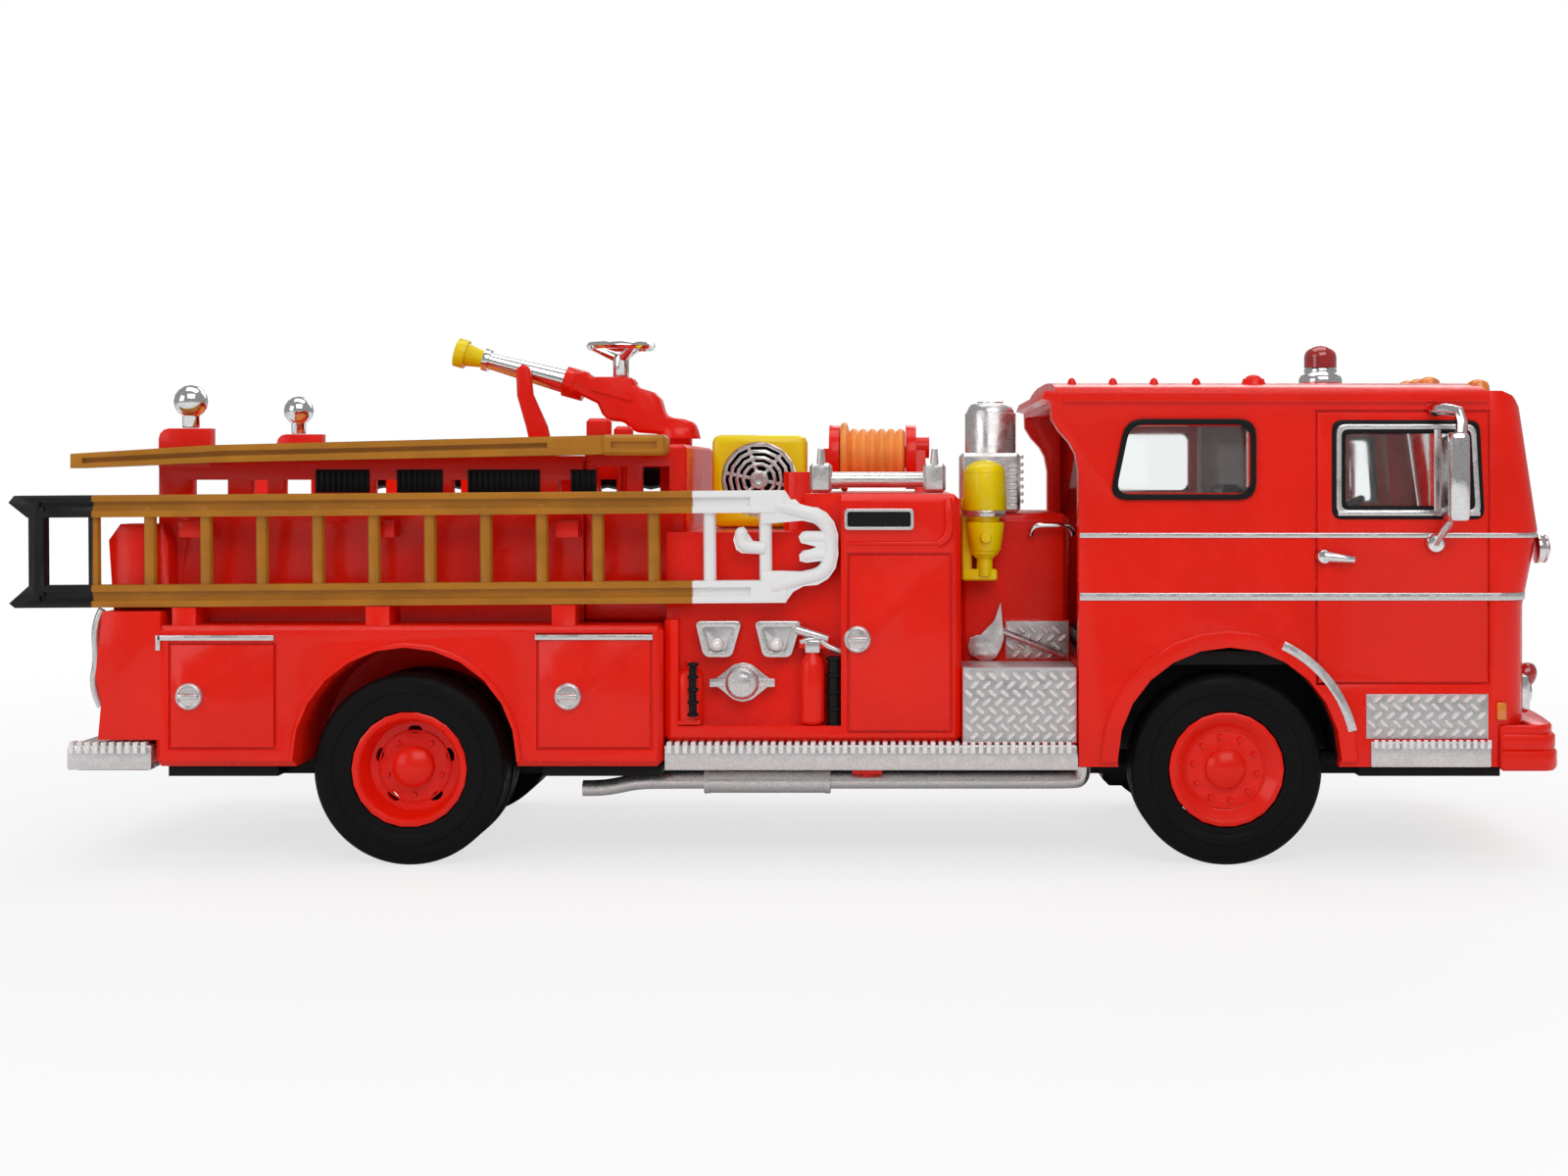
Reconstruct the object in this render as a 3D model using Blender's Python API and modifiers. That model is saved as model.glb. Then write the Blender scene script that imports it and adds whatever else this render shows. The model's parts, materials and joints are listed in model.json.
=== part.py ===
"""Die-cast scale model of a cab-over fire engine, 1:64.

Frame: metres in Blender, +X forward, +Y to the model's left, +Z up, the tyres on Z = 0 and the
origin under the middle of the model. Every size below is in millimetres and goes through MM once.
"""

import math

import bmesh
import bpy
from mathutils import Matrix, Vector

MM = 0.001

# Fits between pieces
SEAT_GAP = 0.06
AXLE_CLEARANCE = 0.09
GUN_CLEARANCE = 0.1

# Wheels and axles
AXLE_REAR_X = -32.9
WHEELBASE = 70.0
TYRE_RADIUS = 8.2
RIM_RADIUS = 5.0
FRONT_TYRE_WIDTH = 4.2
TWIN_TYRE_WIDTH = 8.2
TWIN_GROOVE = 0.9
FRONT_DISH = 0.9
REAR_DISH = 2.4
WHEEL_INSET = 1.1
AXLE_RADIUS = 1.0
ARCH_CLEARANCE = 1.3
FRONT_LIP_WIDTH = 1.45
REAR_LIP_WIDTH = 0.4
LIP_PROUD = 0.55
AXLE_FRONT_X = AXLE_REAR_X + WHEELBASE
ARCH_RADIUS = TYRE_RADIUS + ARCH_CLEARANCE
ARCH_Z = TYRE_RADIUS + 1.1

# Widths, from the middle plane outwards
HALF_WIDTH = 19.0
SHELF_WIDTH = 5.0
PUMP_INSET = 0.6
PANEL_RECESS = 2.0
LADDER_INSET = 1.6
COVER_HALF_WIDTH = 10.0
WALL = 1.3
WHEEL_FACE_Y = HALF_WIDTH - WHEEL_INSET
BED_HALF_WIDTH = HALF_WIDTH - SHELF_WIDTH
PUMP_HALF_WIDTH = HALF_WIDTH - PUMP_INSET
PANEL_Y = PUMP_HALF_WIDTH - PANEL_RECESS
LADDER_Y = LADDER_INSET - HALF_WIDTH
BASE_HALF_WIDTH = WHEEL_FACE_Y - TWIN_TYRE_WIDTH - 1.4

# Lengths of the sections, from the front axle and the rear axle
CAB_AHEAD = 26.9
CAB_BEHIND = 12.75
RECESS_LENGTH = 10.0
PUMP_LENGTH = 25.35
FAN_DECK_LENGTH = 11.9
PLATFORM_LENGTH = 7.5
BODY_BEHIND = 21.4
BED_OVERHANG = 1.3
FIN_OVERHANG = 5.0
STEP_LENGTH = 7.5
BUMPER_REACH = 2.95
CAB_NOSE_X = AXLE_FRONT_X + CAB_AHEAD
CAB_REAR_X = AXLE_FRONT_X - CAB_BEHIND
PUMP_FRONT_X = CAB_REAR_X - RECESS_LENGTH
PUMP_REAR_X = PUMP_FRONT_X - PUMP_LENGTH
FAN_DECK_FRONT_X = PUMP_REAR_X + FAN_DECK_LENGTH
PLATFORM_REAR_X = PUMP_REAR_X - PLATFORM_LENGTH
BODY_REAR_X = AXLE_REAR_X - BODY_BEHIND
BED_REAR_X = BODY_REAR_X - BED_OVERHANG
TAIL_X = BODY_REAR_X - FIN_OVERHANG
BED_LENGTH = PLATFORM_REAR_X - BED_REAR_X

# Heights of the sections, from the axles upwards
SILL_RISE = 0.4
BOARD_RISE = 1.8
CREW_STEP_HEIGHT = 6.5
LOCKER_HEIGHT = 12.0
BED_FLOOR_RISE = 2.4
BED_WALL_HEIGHT = 14.5
RAIL_DEPTH = 2.1
PLATFORM_RISE = 1.0
PUMP_HEIGHT = 21.4
FAN_DECK_DROP = 3.3
COVER_HEIGHT = 13.1
CAB_HEIGHT = 32.0
ROOF_RISE = 1.2
BASE_THICK = 1.2
HOSE_DEPTH = 5.1
TAILBOARD_RISE = 7.4
SILL_Z = TYRE_RADIUS + SILL_RISE
BOARD_Z = SILL_Z + BOARD_RISE
DECK_Z = BOARD_Z + CREW_STEP_HEIGHT
LOCKER_TOP_Z = SILL_Z + LOCKER_HEIGHT
BED_FLOOR_Z = LOCKER_TOP_Z + BED_FLOOR_RISE
RAIL_TOP_Z = LOCKER_TOP_Z + BED_WALL_HEIGHT
PLATFORM_TOP_Z = RAIL_TOP_Z + PLATFORM_RISE
PUMP_TOP_Z = BOARD_Z + PUMP_HEIGHT
FAN_DECK_Z = PUMP_TOP_Z - FAN_DECK_DROP
COVER_TOP_Z = DECK_Z + COVER_HEIGHT
ROOF_EDGE_Z = SILL_Z + CAB_HEIGHT
ROOF_CROWN_Z = ROOF_EDGE_Z + ROOF_RISE
BASE_Z = SILL_Z - BASE_THICK

# Side ladder, tilted up a little towards the front
LADDER_LENGTH = 70.85
LADDER_HEIGHT = 9.6
LADDER_RISE = 0.5
LADDER_ABOVE_LOCKERS = 1.45
LADDER_RAIL_THICK = 1.7
LADDER_RAIL_DEPTH = 1.9
LADDER_GROOVE = 0.45
LADDER_PAST_PUMP = 14.9
RUNG_RADIUS = 0.55
RUNG_COUNT = 14
LADDER_FRONT_X = PUMP_REAR_X + LADDER_PAST_PUMP
LADDER_TAIL_X = LADDER_FRONT_X - LADDER_LENGTH
LADDER_LOW_Z = LOCKER_TOP_Z + LADDER_ABOVE_LOCKERS

# Deck gun, about its swivel
GUN_BEHIND_PUMP = 0.6
GUN_TILT = math.radians(15.0)
GUN_BODY_HALF = 1.5
BARREL_LENGTH = 7.85
TIP_LENGTH = 2.6
HANDWHEEL_RADIUS = 3.25
HANDWHEEL_RISE = 9.4
HANDWHEEL_BACK = 5.4
GUN_X = PUMP_REAR_X - GUN_BEHIND_PUMP
GUN_Z = PLATFORM_TOP_Z

# Smoke ejector, hose reel and roller guide on the pump house
FAN_HALF = 4.3
FAN_BORE = 3.45
FAN_DEPTH = 4.8
FAN_Y = -3.2
REEL_RADIUS = 3.0
REEL_LENGTH = 8.1
REEL_CORE = 1.0
REEL_CENTRE_RISE = 3.3
FLANGE_THICK = 0.95
REEL_REAR_X = FAN_DECK_FRONT_X + 1.7
REEL_Z = PUMP_TOP_Z + REEL_CENTRE_RISE
GUIDE_LENGTH = 11.8
GUIDE_Y = 1.4 - PANEL_Y

PARTS = None
TOOLS = None


def clear_scene():
    for old in list(bpy.data.objects):
        bpy.data.objects.remove(old, do_unlink=True)


def new_collection(name):
    collection = bpy.data.collections.new(name)
    bpy.context.scene.collection.children.link(collection)
    return collection


def helper(name, data):
    """An object of the working collection: a cutter or a piece that a node is joined from."""
    obj = bpy.data.objects.new(name, data)
    TOOLS.objects.link(obj)
    obj.hide_render = True
    obj.display_type = "WIRE"
    return obj


def paint(name, colour, roughness, metallic=0.0):
    material = bpy.data.materials.new(name)
    material.use_nodes = True
    shader = material.node_tree.nodes["Principled BSDF"]
    shader.inputs["Base Color"].default_value = (*colour, 1.0)
    shader.inputs["Roughness"].default_value = roughness
    shader.inputs["Metallic"].default_value = metallic
    material.diffuse_color = (*colour, 1.0)
    return material


def mesh_of(bm, name):
    bmesh.ops.recalc_face_normals(bm, faces=bm.faces)
    mesh = bpy.data.meshes.new(name)
    bm.to_mesh(mesh)
    bm.free()
    return mesh


def baked(obj, weld=0.0005):
    """The evaluated object as a closed mesh in world space."""
    graph = bpy.context.evaluated_depsgraph_get()
    evaluated = obj.evaluated_get(graph)
    mesh = bpy.data.meshes.new_from_object(evaluated)
    mesh.transform(obj.matrix_world)
    bm = bmesh.new()
    bm.from_mesh(mesh)
    bmesh.ops.remove_doubles(bm, verts=bm.verts, dist=weld * MM)
    name = obj.name
    bpy.data.objects.remove(obj, do_unlink=True)
    return helper(name, mesh_of(bm, name))


def box(x, y, z, name="block", bevel=0.0):
    """A box between two corners, given as its (low, high) along each axis."""
    size = Vector((x[1] - x[0], y[1] - y[0], z[1] - z[0])) * MM
    centre = Vector((x[0] + x[1], y[0] + y[1], z[0] + z[1])) * (MM / 2)
    bm = bmesh.new()
    bmesh.ops.create_cube(bm, size=1.0, matrix=Matrix.LocRotScale(centre, None, size))
    obj = helper(name, mesh_of(bm, name))
    if bevel:
        round_edges(obj, bevel)
    return obj


def round_edges(obj, width, segments=1, angle=40.0):
    modifier = obj.modifiers.new("Round", "BEVEL")
    modifier.width = width * MM
    modifier.segments = segments
    modifier.limit_method = "ANGLE"
    modifier.angle_limit = math.radians(angle)
    return obj


def rod(start, end, radius, sides=16, end_radius=None, name="rod"):
    """A round bar or cone from one point to another."""
    start = Vector(start) * MM
    end = Vector(end) * MM
    axis = end - start
    turn = axis.to_track_quat("Z", "Y")
    bm = bmesh.new()
    bmesh.ops.create_cone(
        bm,
        cap_ends=True,
        segments=sides,
        radius1=radius * MM,
        radius2=(radius if end_radius is None else end_radius) * MM,
        depth=axis.length,
        matrix=Matrix.LocRotScale((start + end) / 2, turn, None),
    )
    return helper(name, mesh_of(bm, name))


def ball(centre, radius, sides=16, rings=10, stretch=(1.0, 1.0, 1.0), name="ball"):
    bm = bmesh.new()
    place = Matrix.LocRotScale(Vector(centre) * MM, None, Vector(stretch))
    bmesh.ops.create_uvsphere(bm, u_segments=sides, v_segments=rings, radius=radius * MM, matrix=place)
    return helper(name, mesh_of(bm, name))


def turned(profile, centre, axis, steps=24, name="turned"):
    """A profile of (radius, height) points, turned round an axis through centre."""
    mesh = bpy.data.meshes.new(name)
    points = [(radius * MM, 0.0, height * MM) for radius, height in profile]
    closed = profile[0][0] > 0.0
    edges = [(i, i + 1) for i in range(len(points) - 1)]
    if closed:
        edges.append((len(points) - 1, 0))
    mesh.from_pydata(points, edges, [])
    obj = helper(name, mesh)
    screw = obj.modifiers.new("Turn", "SCREW")
    screw.steps = steps
    screw.render_steps = steps
    screw.use_merge_vertices = True
    screw.merge_threshold = 0.000001
    turn = Vector(axis).to_track_quat("Z", "Y")
    obj.matrix_world = Matrix.LocRotScale(Vector(centre) * MM, turn, None)
    return baked(obj)


def tube(points, radius, resolution=2, name="tube"):
    """A round bent pipe through points, with flat ends."""
    curve = bpy.data.curves.new(name, "CURVE")
    curve.dimensions = "3D"
    curve.bevel_depth = radius * MM
    curve.bevel_resolution = resolution
    curve.use_fill_caps = True
    spline = curve.splines.new("POLY")
    spline.points.add(len(points) - 1)
    for point, place in zip(spline.points, points):
        point.co = (*(Vector(place) * MM), 1.0)
    return baked(helper(name, curve))


def hoop(centre, axis, radius, wire, steps=24, sides=8, name="hoop"):
    """A round ring of round wire."""
    section = [(radius + x, y) for x, y in arc((0.0, 0.0), wire, 360.0 / sides, 360.0, sides)]
    return turned(section[::-1], centre, axis, steps, name)


def plate(outline, span, plane="XZ", bevel=0.0, name="plate"):
    """A flat outline given in a plane and raised over a span across it."""
    curve = bpy.data.curves.new(name, "CURVE")
    curve.dimensions = "2D"
    curve.fill_mode = "BOTH"
    curve.extrude = (span[1] - span[0]) * MM / 2
    spline = curve.splines.new("POLY")
    spline.points.add(len(outline) - 1)
    for point, place in zip(spline.points, outline):
        point.co = (place[0] * MM, place[1] * MM, 0.0, 1.0)
    spline.use_cyclic_u = True
    obj = helper(name, curve)
    middle = (span[0] + span[1]) * MM / 2
    obj.matrix_world = {
        "XY": Matrix.Translation((0, 0, middle)),
        "XZ": Matrix.Translation((0, middle, 0)) @ Matrix.Rotation(math.pi / 2, 4, "X"),
        "YZ": Matrix.Translation((middle, 0, 0)) @ Matrix(((0, 0, 1, 0), (1, 0, 0, 0), (0, 1, 0, 0), (0, 0, 0, 1))),
    }[plane]
    obj = baked(obj)
    if bevel:
        round_edges(obj, bevel)
    return obj


def arc(centre, radius, start, end, count):
    """Points on a circle between two angles in degrees."""
    step = (end - start) / (count - 1)
    angles = [math.radians(start + step * i) for i in range(count)]
    return [(centre[0] + radius * math.cos(a), centre[1] + radius * math.sin(a)) for a in angles]


def boolean(obj, other, operation):
    modifier = obj.modifiers.new(operation.title(), "BOOLEAN")
    modifier.operation = operation
    modifier.solver = "EXACT"
    modifier.object = other
    return obj


def join(base, *others):
    for other in others:
        boolean(base, other, "UNION")
    return base


def cut(base, *others):
    for other in others:
        boolean(base, other, "DIFFERENCE")
    return base


def mirrored(obj):
    """A copy on the other side of the model's middle plane."""
    copy = baked_copy(obj)
    copy.data.transform(Matrix.Scale(-1, 4, (0, 1, 0)))
    copy.data.flip_normals()
    return copy


def baked_copy(obj):
    graph = bpy.context.evaluated_depsgraph_get()
    mesh = bpy.data.meshes.new_from_object(obj.evaluated_get(graph))
    mesh.transform(obj.matrix_world)
    return helper(obj.name, mesh)


def both_sides(obj):
    return [obj, mirrored(obj)]


def node(name, obj, material, pivot=None, smooth=35.0):
    """Makes a finished solid one named sub-part, with its origin at pivot."""
    obj = baked(obj)
    TOOLS.objects.unlink(obj)
    PARTS.objects.link(obj)
    obj.hide_render = False
    obj.display_type = "TEXTURED"
    obj.name = name
    obj.data.name = name
    if pivot:
        place = Vector(pivot) * MM
        obj.data.transform(Matrix.Translation(-place))
        obj.location = place
    obj.data.materials.clear()
    obj.data.materials.append(material)
    obj.data.shade_smooth()
    obj.data.set_sharp_from_angle(angle=math.radians(smooth))
    return obj


def side_key(side):
    """Letter for a side: +1 is the left, -1 the right."""
    return "l" if side > 0 else "r"


def outward(side, *distances):
    """The Y values of distances from the middle plane on one side, in rising order."""
    return sorted(side * distance for distance in distances)


def tyre_profile(width, outer, bore):
    """Shoulders and flat tread of one tyre, as (radius, height) from its outer face inwards."""
    shoulder = 0.7
    bulge = 0.25
    drop = 0.35
    return [
        (bore, -bulge),
        (bore + 0.5, 0.0),
        (outer - 2 * shoulder, 0.0),
        (outer - bulge, -shoulder),
        (outer, -shoulder - drop),
        (outer, -width + shoulder + drop),
        (outer - bulge, -width + shoulder),
        (outer - 2 * shoulder, -width),
        (bore + 0.5, -width),
        (bore, -width + bulge),
    ]


def twin_profile(width, outer, bore):
    """Two tyres side by side with a groove between them."""
    single = (width - TWIN_GROOVE) / 2
    near = tyre_profile(single, outer, bore)[:-1]
    inner = tyre_profile(single, outer, bore)[1:]
    far = [(radius, height - single - TWIN_GROOVE) for radius, height in inner]
    groove = outer - 2.6
    near[-1] = (groove, -single)
    far[0] = (groove, -single - TWIN_GROOVE)
    return near + far


def build_tyre(name, x, side, profile, material):
    tyre = turned(profile, (x, side * WHEEL_FACE_Y, TYRE_RADIUS), (0, side, 0), 28, name)
    return node(name, tyre, material, (x, 0, TYRE_RADIUS))


def build_rim(name, x, side, width, dish, twin, material):
    """A steel disc wheel: flange, dish, disc, hub and its bore for the axle."""
    outer = RIM_RADIUS - SEAT_GAP
    flange = RIM_RADIUS - 0.75
    inner = RIM_RADIUS - 0.55
    well = flange - (0.4 if twin else 0.65)
    disc = dish + 0.8
    hub = RIM_RADIUS * 0.35
    hub_top = dish - (1.5 if twin else 0.9)
    sleeve = AXLE_RADIUS + 0.9
    bore = AXLE_RADIUS + SEAT_GAP
    profile = [
        (0.0, -hub_top + 0.15),
        (hub * 0.55, -hub_top + 0.05),
        (hub, -hub_top - 0.45),
        (hub, -dish),
        (well, -dish),
        (flange, -0.25),
        (flange + 0.25, 0.0),
        (outer, -0.1),
        (outer, -width + 0.2),
        (inner, -width + 0.2),
        (inner, -disc - 0.3),
        (inner - 0.35, -disc),
        (sleeve, -disc),
        (sleeve, -disc - 1.8),
        (bore, -disc - 1.8),
        (bore, -dish + 0.4),
        (0.0, -dish + 0.4),
    ]
    face = side * (WHEEL_FACE_Y - 0.05)
    rim = turned(profile, (x, face, TYRE_RADIUS), (0, side, 0), 22, name)
    if twin:
        holes = 5
        ring = (hub + well) / 2 + 0.4
        for i in range(holes):
            angle = math.tau * (i + 0.25) / holes
            spot = Vector((x + ring * math.cos(angle), face - side * dish, TYRE_RADIUS + ring * math.sin(angle)))
            hole = rod((0, -2, 0), (0, 2, 0), 0.42, 12, name="hand_hole")
            along = Matrix.Rotation(-angle, 4, "Y") @ Matrix.Diagonal((0.8, 1.0, 1.5, 1.0))
            hole.data.transform(Matrix.Translation(spot * MM) @ along)
            cut(rim, hole)
    return node(name, rim, material, (x, 0, TYRE_RADIUS))


def build_wheels(paints):
    # axle name, X, tyre width, dish, twin tyres
    axles = (
        ("front", AXLE_FRONT_X, FRONT_TYRE_WIDTH, FRONT_DISH, False),
        ("rear", AXLE_REAR_X, TWIN_TYRE_WIDTH, REAR_DISH, True),
    )
    for name, x, width, dish, twin in axles:
        shape = twin_profile if twin else tyre_profile
        for side in (-1, 1):
            key = side_key(side)
            build_tyre(f"tyre_{name}_{key}", x, side, shape(width, TYRE_RADIUS, RIM_RADIUS), paints["rubber"])
            build_rim(f"rim_{name}_{key}", x, side, width, dish, twin, paints["red"])
        end = WHEEL_FACE_Y - dish + 0.3
        axle = rod((x, -end, TYRE_RADIUS), (x, end, TYRE_RADIUS), AXLE_RADIUS, 16)
        node(f"axle_{name}", axle, paints["steel"], (x, 0, TYRE_RADIUS))


def well_cutter(x, side, tyre_width):
    """Room for one wheel, from outside the body to the inner face of the well."""
    inner = side * (WHEEL_FACE_Y - tyre_width - 0.7)
    outer = side * (HALF_WIDTH + 3.0)
    return rod((x, inner, ARCH_Z), (x, outer, ARCH_Z), ARCH_RADIUS, 24, name="wheel_well")


def arch_ring(x, side, lip_width):
    """The raised lip round a wheel opening, open below the sill."""
    inner = side * (HALF_WIDTH - 1.0)
    outer = side * (HALF_WIDTH + LIP_PROUD)
    reach = ARCH_RADIUS + lip_width
    ring = rod((x, inner, ARCH_Z), (x, outer, ARCH_Z), reach, 28, name="arch_lip")
    round_edges(ring, 0.2)
    below = box((x - 2 * reach, x + 2 * reach), (-25, 25), (-5, SILL_Z + 0.5), "below_sill")
    return cut(ring, below)


def latch(x, z, y, side):
    """A round door latch with a cross bar."""
    ring = rod((x, side * (y - 0.4), z), (x, side * (y + 0.25), z), 1.15, 20)
    bar = box((x - 0.75, x + 0.75), outward(side, y, y + 0.5), (z - 0.22, z + 0.22))
    return [ring, bar]


def door_groove(x, z, y, side, width=0.25, depth=0.35):
    """The gap round a door, as one frame-shaped cutter. x and z are the door's (low, high)."""
    span = outward(side, y - depth, y + 1.0)
    frame = box(x, span, z, "door_gap")
    leaf_x = (x[0] + width, x[1] - width)
    leaf_z = (z[0] + width, z[1] - width)
    return cut(frame, box(leaf_x, (span[0] - 1.0, span[1] + 1.0), leaf_z, "door_leaf"))


def ladder_low_z(x):
    """Height of the side ladder's lower edge at a station."""
    return LADDER_LOW_Z + LADDER_RISE * (x - LADDER_TAIL_X) / LADDER_LENGTH


def bed_x(share):
    """A station along the hose bed, as a share of its length from the rear."""
    return BED_REAR_X + share * BED_LENGTH


def tail_fins():
    """Fins behind the lockers: full width up to the ladder, then inside it."""
    root = BODY_REAR_X + 0.5
    low_fin = [
        (TAIL_X + 0.2, BOARD_Z + 0.5),
        (TAIL_X + 0.5, BOARD_Z + 3.8),
        (TAIL_X, BOARD_Z + 5.9),
        (TAIL_X + 0.6, LOCKER_TOP_Z + 1.2),
        (root, LOCKER_TOP_Z + 1.2),
        (root, BOARD_Z + 0.5),
    ]
    high_fin = [
        (TAIL_X + 0.7, LOCKER_TOP_Z - 0.1),
        (TAIL_X + 0.2, LOCKER_TOP_Z + 7.2),
        (TAIL_X + 1.2, LOCKER_TOP_Z + 8.6),
        (root - 0.8, LOCKER_TOP_Z + 8.6),
        (root - 0.2, LOCKER_TOP_Z + 7.0),
        (root, LOCKER_TOP_Z - 0.1),
    ]
    fins = []
    for outline, outer in ((low_fin, HALF_WIDTH - 0.02), (high_fin, PANEL_Y)):
        fins += both_sides(plate(outline, (-outer, -BED_HALF_WIDTH + 0.7), name="tail_fin"))
    return fins


def build_hose_body(paints):
    root_z = LOCKER_TOP_Z - 4.0
    locker_x = (BODY_REAR_X, PUMP_REAR_X - SEAT_GAP)
    body = round_edges(box(locker_x, (-HALF_WIDTH, HALF_WIDTH), (SILL_Z, LOCKER_TOP_Z), "lockers"), 0.5)
    walls_x = (BED_REAR_X, PLATFORM_REAR_X)
    join(body, box(walls_x, (-BED_HALF_WIDTH, BED_HALF_WIDTH), (root_z, RAIL_TOP_Z), "bed_walls"))
    inside = BED_HALF_WIDTH - WALL
    cut(body, box((BED_REAR_X - 2, PLATFORM_REAR_X + 2), (-inside, inside), (BED_FLOOR_Z, RAIL_TOP_Z + 3), "bed"))
    board_x = (BED_REAR_X, BED_REAR_X + WALL)
    board_z = (LOCKER_TOP_Z - 0.5, LOCKER_TOP_Z + TAILBOARD_RISE)
    join(body, box(board_x, (-inside - 0.5, inside + 0.5), board_z, "tailboard"))

    # Slots under the top rail, as shares of the bed's length
    slots = ((0.078, 0.162), (0.218, 0.256), (0.294, 0.364), (0.507, 0.566), (0.690, 0.744), (0.941, 0.985))
    slot_z = (RAIL_TOP_Z - 4.7, RAIL_TOP_Z - RAIL_DEPTH)
    for start, end in slots:
        cut(body, box((bed_x(start), bed_x(end)), (-20, 20), slot_z, "rail_slot"))
    join(body, *tail_fins())

    for side in (-1, 1):
        join(body, arch_ring(AXLE_REAR_X, side, REAR_LIP_WIDTH))
        cut(body, well_cutter(AXLE_REAR_X, side, TWIN_TYRE_WIDTH))
    tunnel_x = (AXLE_REAR_X - 2.2, AXLE_REAR_X + 2.2)
    cut(body, box(tunnel_x, (-15, 15), (SILL_Z - 2, TYRE_RADIUS + 2.4), "axle_tunnel"))

    # Locker doors: X span, drop of the top edge, latch X
    doors = (
        ((BODY_REAR_X + 1.2, AXLE_REAR_X - 11.0), 1.4, BODY_REAR_X + 3.0),
        ((AXLE_REAR_X + 11.1, PUMP_REAR_X - 0.9), 0.6, AXLE_REAR_X + 13.8),
    )
    for side in (-1, 1):
        for span, drop, latch_x in doors:
            cut(body, door_groove(span, (SILL_Z + 1.45, LOCKER_TOP_Z - drop), HALF_WIDTH, side))
            join(body, *latch(latch_x, SILL_Z + 6.0, HALF_WIDTH, side))

    # Carriers of the side ladder on the right: shares of the bed's length
    carrier_root = BED_HALF_WIDTH - 0.4
    ladder_back = -(LADDER_Y + LADDER_RAIL_THICK / 2) - SEAT_GAP
    for share in (0.096, 0.542, 0.97):
        span = (bed_x(share) - 1.0, bed_x(share) + 1.0)
        low_z = (LOCKER_TOP_Z - 0.2, ladder_low_z(span[0]) - SEAT_GAP)
        high_z = (LADDER_LOW_Z + 6.0, LADDER_LOW_Z + 7.4)
        join(body, box(span, outward(-1, carrier_root, HALF_WIDTH - 0.8), low_z, "ladder_foot"))
        join(body, box(span, outward(-1, carrier_root, ladder_back), high_z, "ladder_back"))
    # Cradles of the suction hoses on the left
    cradle = BED_HALF_WIDTH + 3.4
    for share in (0.19, 0.44, 0.845):
        span = (bed_x(share) - 0.9, bed_x(share) + 0.9)
        for low, high in ((LOCKER_TOP_Z + 5.8, LOCKER_TOP_Z + 7.3), (LOCKER_TOP_Z + 10.65, LOCKER_TOP_Z + 11.25)):
            join(body, box(span, outward(1, carrier_root, cradle), (low, high), "hose_cradle"))

    # Cross bar that carries the gun's rest
    bar_x = (GUN_X - 13.7, GUN_X - 11.0)
    bar_z = (RAIL_TOP_Z - 1.7, RAIL_TOP_Z - 0.1)
    join(body, box(bar_x, (-BED_HALF_WIDTH + 0.3, BED_HALF_WIDTH - 0.3), bar_z, "rest_bar"))
    # Rear lamp brackets on the bed's corners, round at the rear: side, rear X, length
    for side, start, length in ((-1, BED_REAR_X, 4.5), (1, BED_REAR_X + 2.6, 4.5)):
        ends = outward(side, BED_HALF_WIDTH - 1.35, BED_HALF_WIDTH + 0.1)
        outline = arc((start + 0.9, RAIL_TOP_Z + 1.5), 0.9, 180, 90, 4)
        outline += [(start + length, RAIL_TOP_Z + 2.4), (start + length, RAIL_TOP_Z - 1.0)]
        outline += [(start, RAIL_TOP_Z - 1.0)]
        join(body, plate(outline, ends, name="lamp_bracket"))
    return node("hose_body", body, paints["red"])


def build_gun_platform(paints):
    """Raised box between the bed and the pump house, open to the bed and with two windows a side."""
    x = (PLATFORM_REAR_X + SEAT_GAP, PUMP_REAR_X + 1.5)
    z = (LOCKER_TOP_Z + SEAT_GAP, PLATFORM_TOP_Z)
    stand = round_edges(box(x, (-BED_HALF_WIDTH, BED_HALF_WIDTH), z, "gun_platform"), 0.3)
    inside = BED_HALF_WIDTH - WALL
    room = (BED_FLOOR_Z, PLATFORM_TOP_Z - 1.4)
    cut(stand, box((x[0] - 2, x[1] - 1.1), (-inside, inside), room, "platform_room"))
    window_z = (RAIL_TOP_Z - 4.7, PLATFORM_TOP_Z - 1.9)
    for start, end in ((1.1, 3.8), (5.1, 7.5)):
        window_x = (PLATFORM_REAR_X + start, PLATFORM_REAR_X + end)
        cut(stand, box(window_x, (-20, 20), window_z, "platform_window"))
    # Posts on the right edge: X from the platform's rear, width, height
    for start, width, height in ((-2.2 + 2.4, 2.1, 2.3), (2.6, 1.6, 1.6)):
        post_x = (PLATFORM_REAR_X + start, PLATFORM_REAR_X + start + width)
        post_z = (PLATFORM_TOP_Z - 0.5, PLATFORM_TOP_Z + height)
        join(stand, round_edges(box(post_x, (-BED_HALF_WIDTH, 1.6 - BED_HALF_WIDTH), post_z, "post"), 0.3))
    return node("gun_platform", stand, paints["red"])


def build_hose_load(paints):
    """Folded hose laid in the bed: long flat folds side by side."""
    folds = 11
    half = BED_HALF_WIDTH - WALL - 0.3
    pitch = 2 * half / folds
    low_z = BED_FLOOR_Z + SEAT_GAP
    outline = [(-half, low_z)]
    for i in range(folds):
        crest = (-half + (i + 0.5) * pitch, BED_FLOOR_Z + HOSE_DEPTH - pitch / 2)
        outline += arc(crest, pitch / 2 - 0.05, 180, 0, 5)
    outline.append((half, low_z))
    span = (BED_REAR_X + WALL + 0.3, PLATFORM_REAR_X - 1.0)
    return node("hose_load", plate(outline, span, "YZ", name="hose_load"), paints["hose"])


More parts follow.
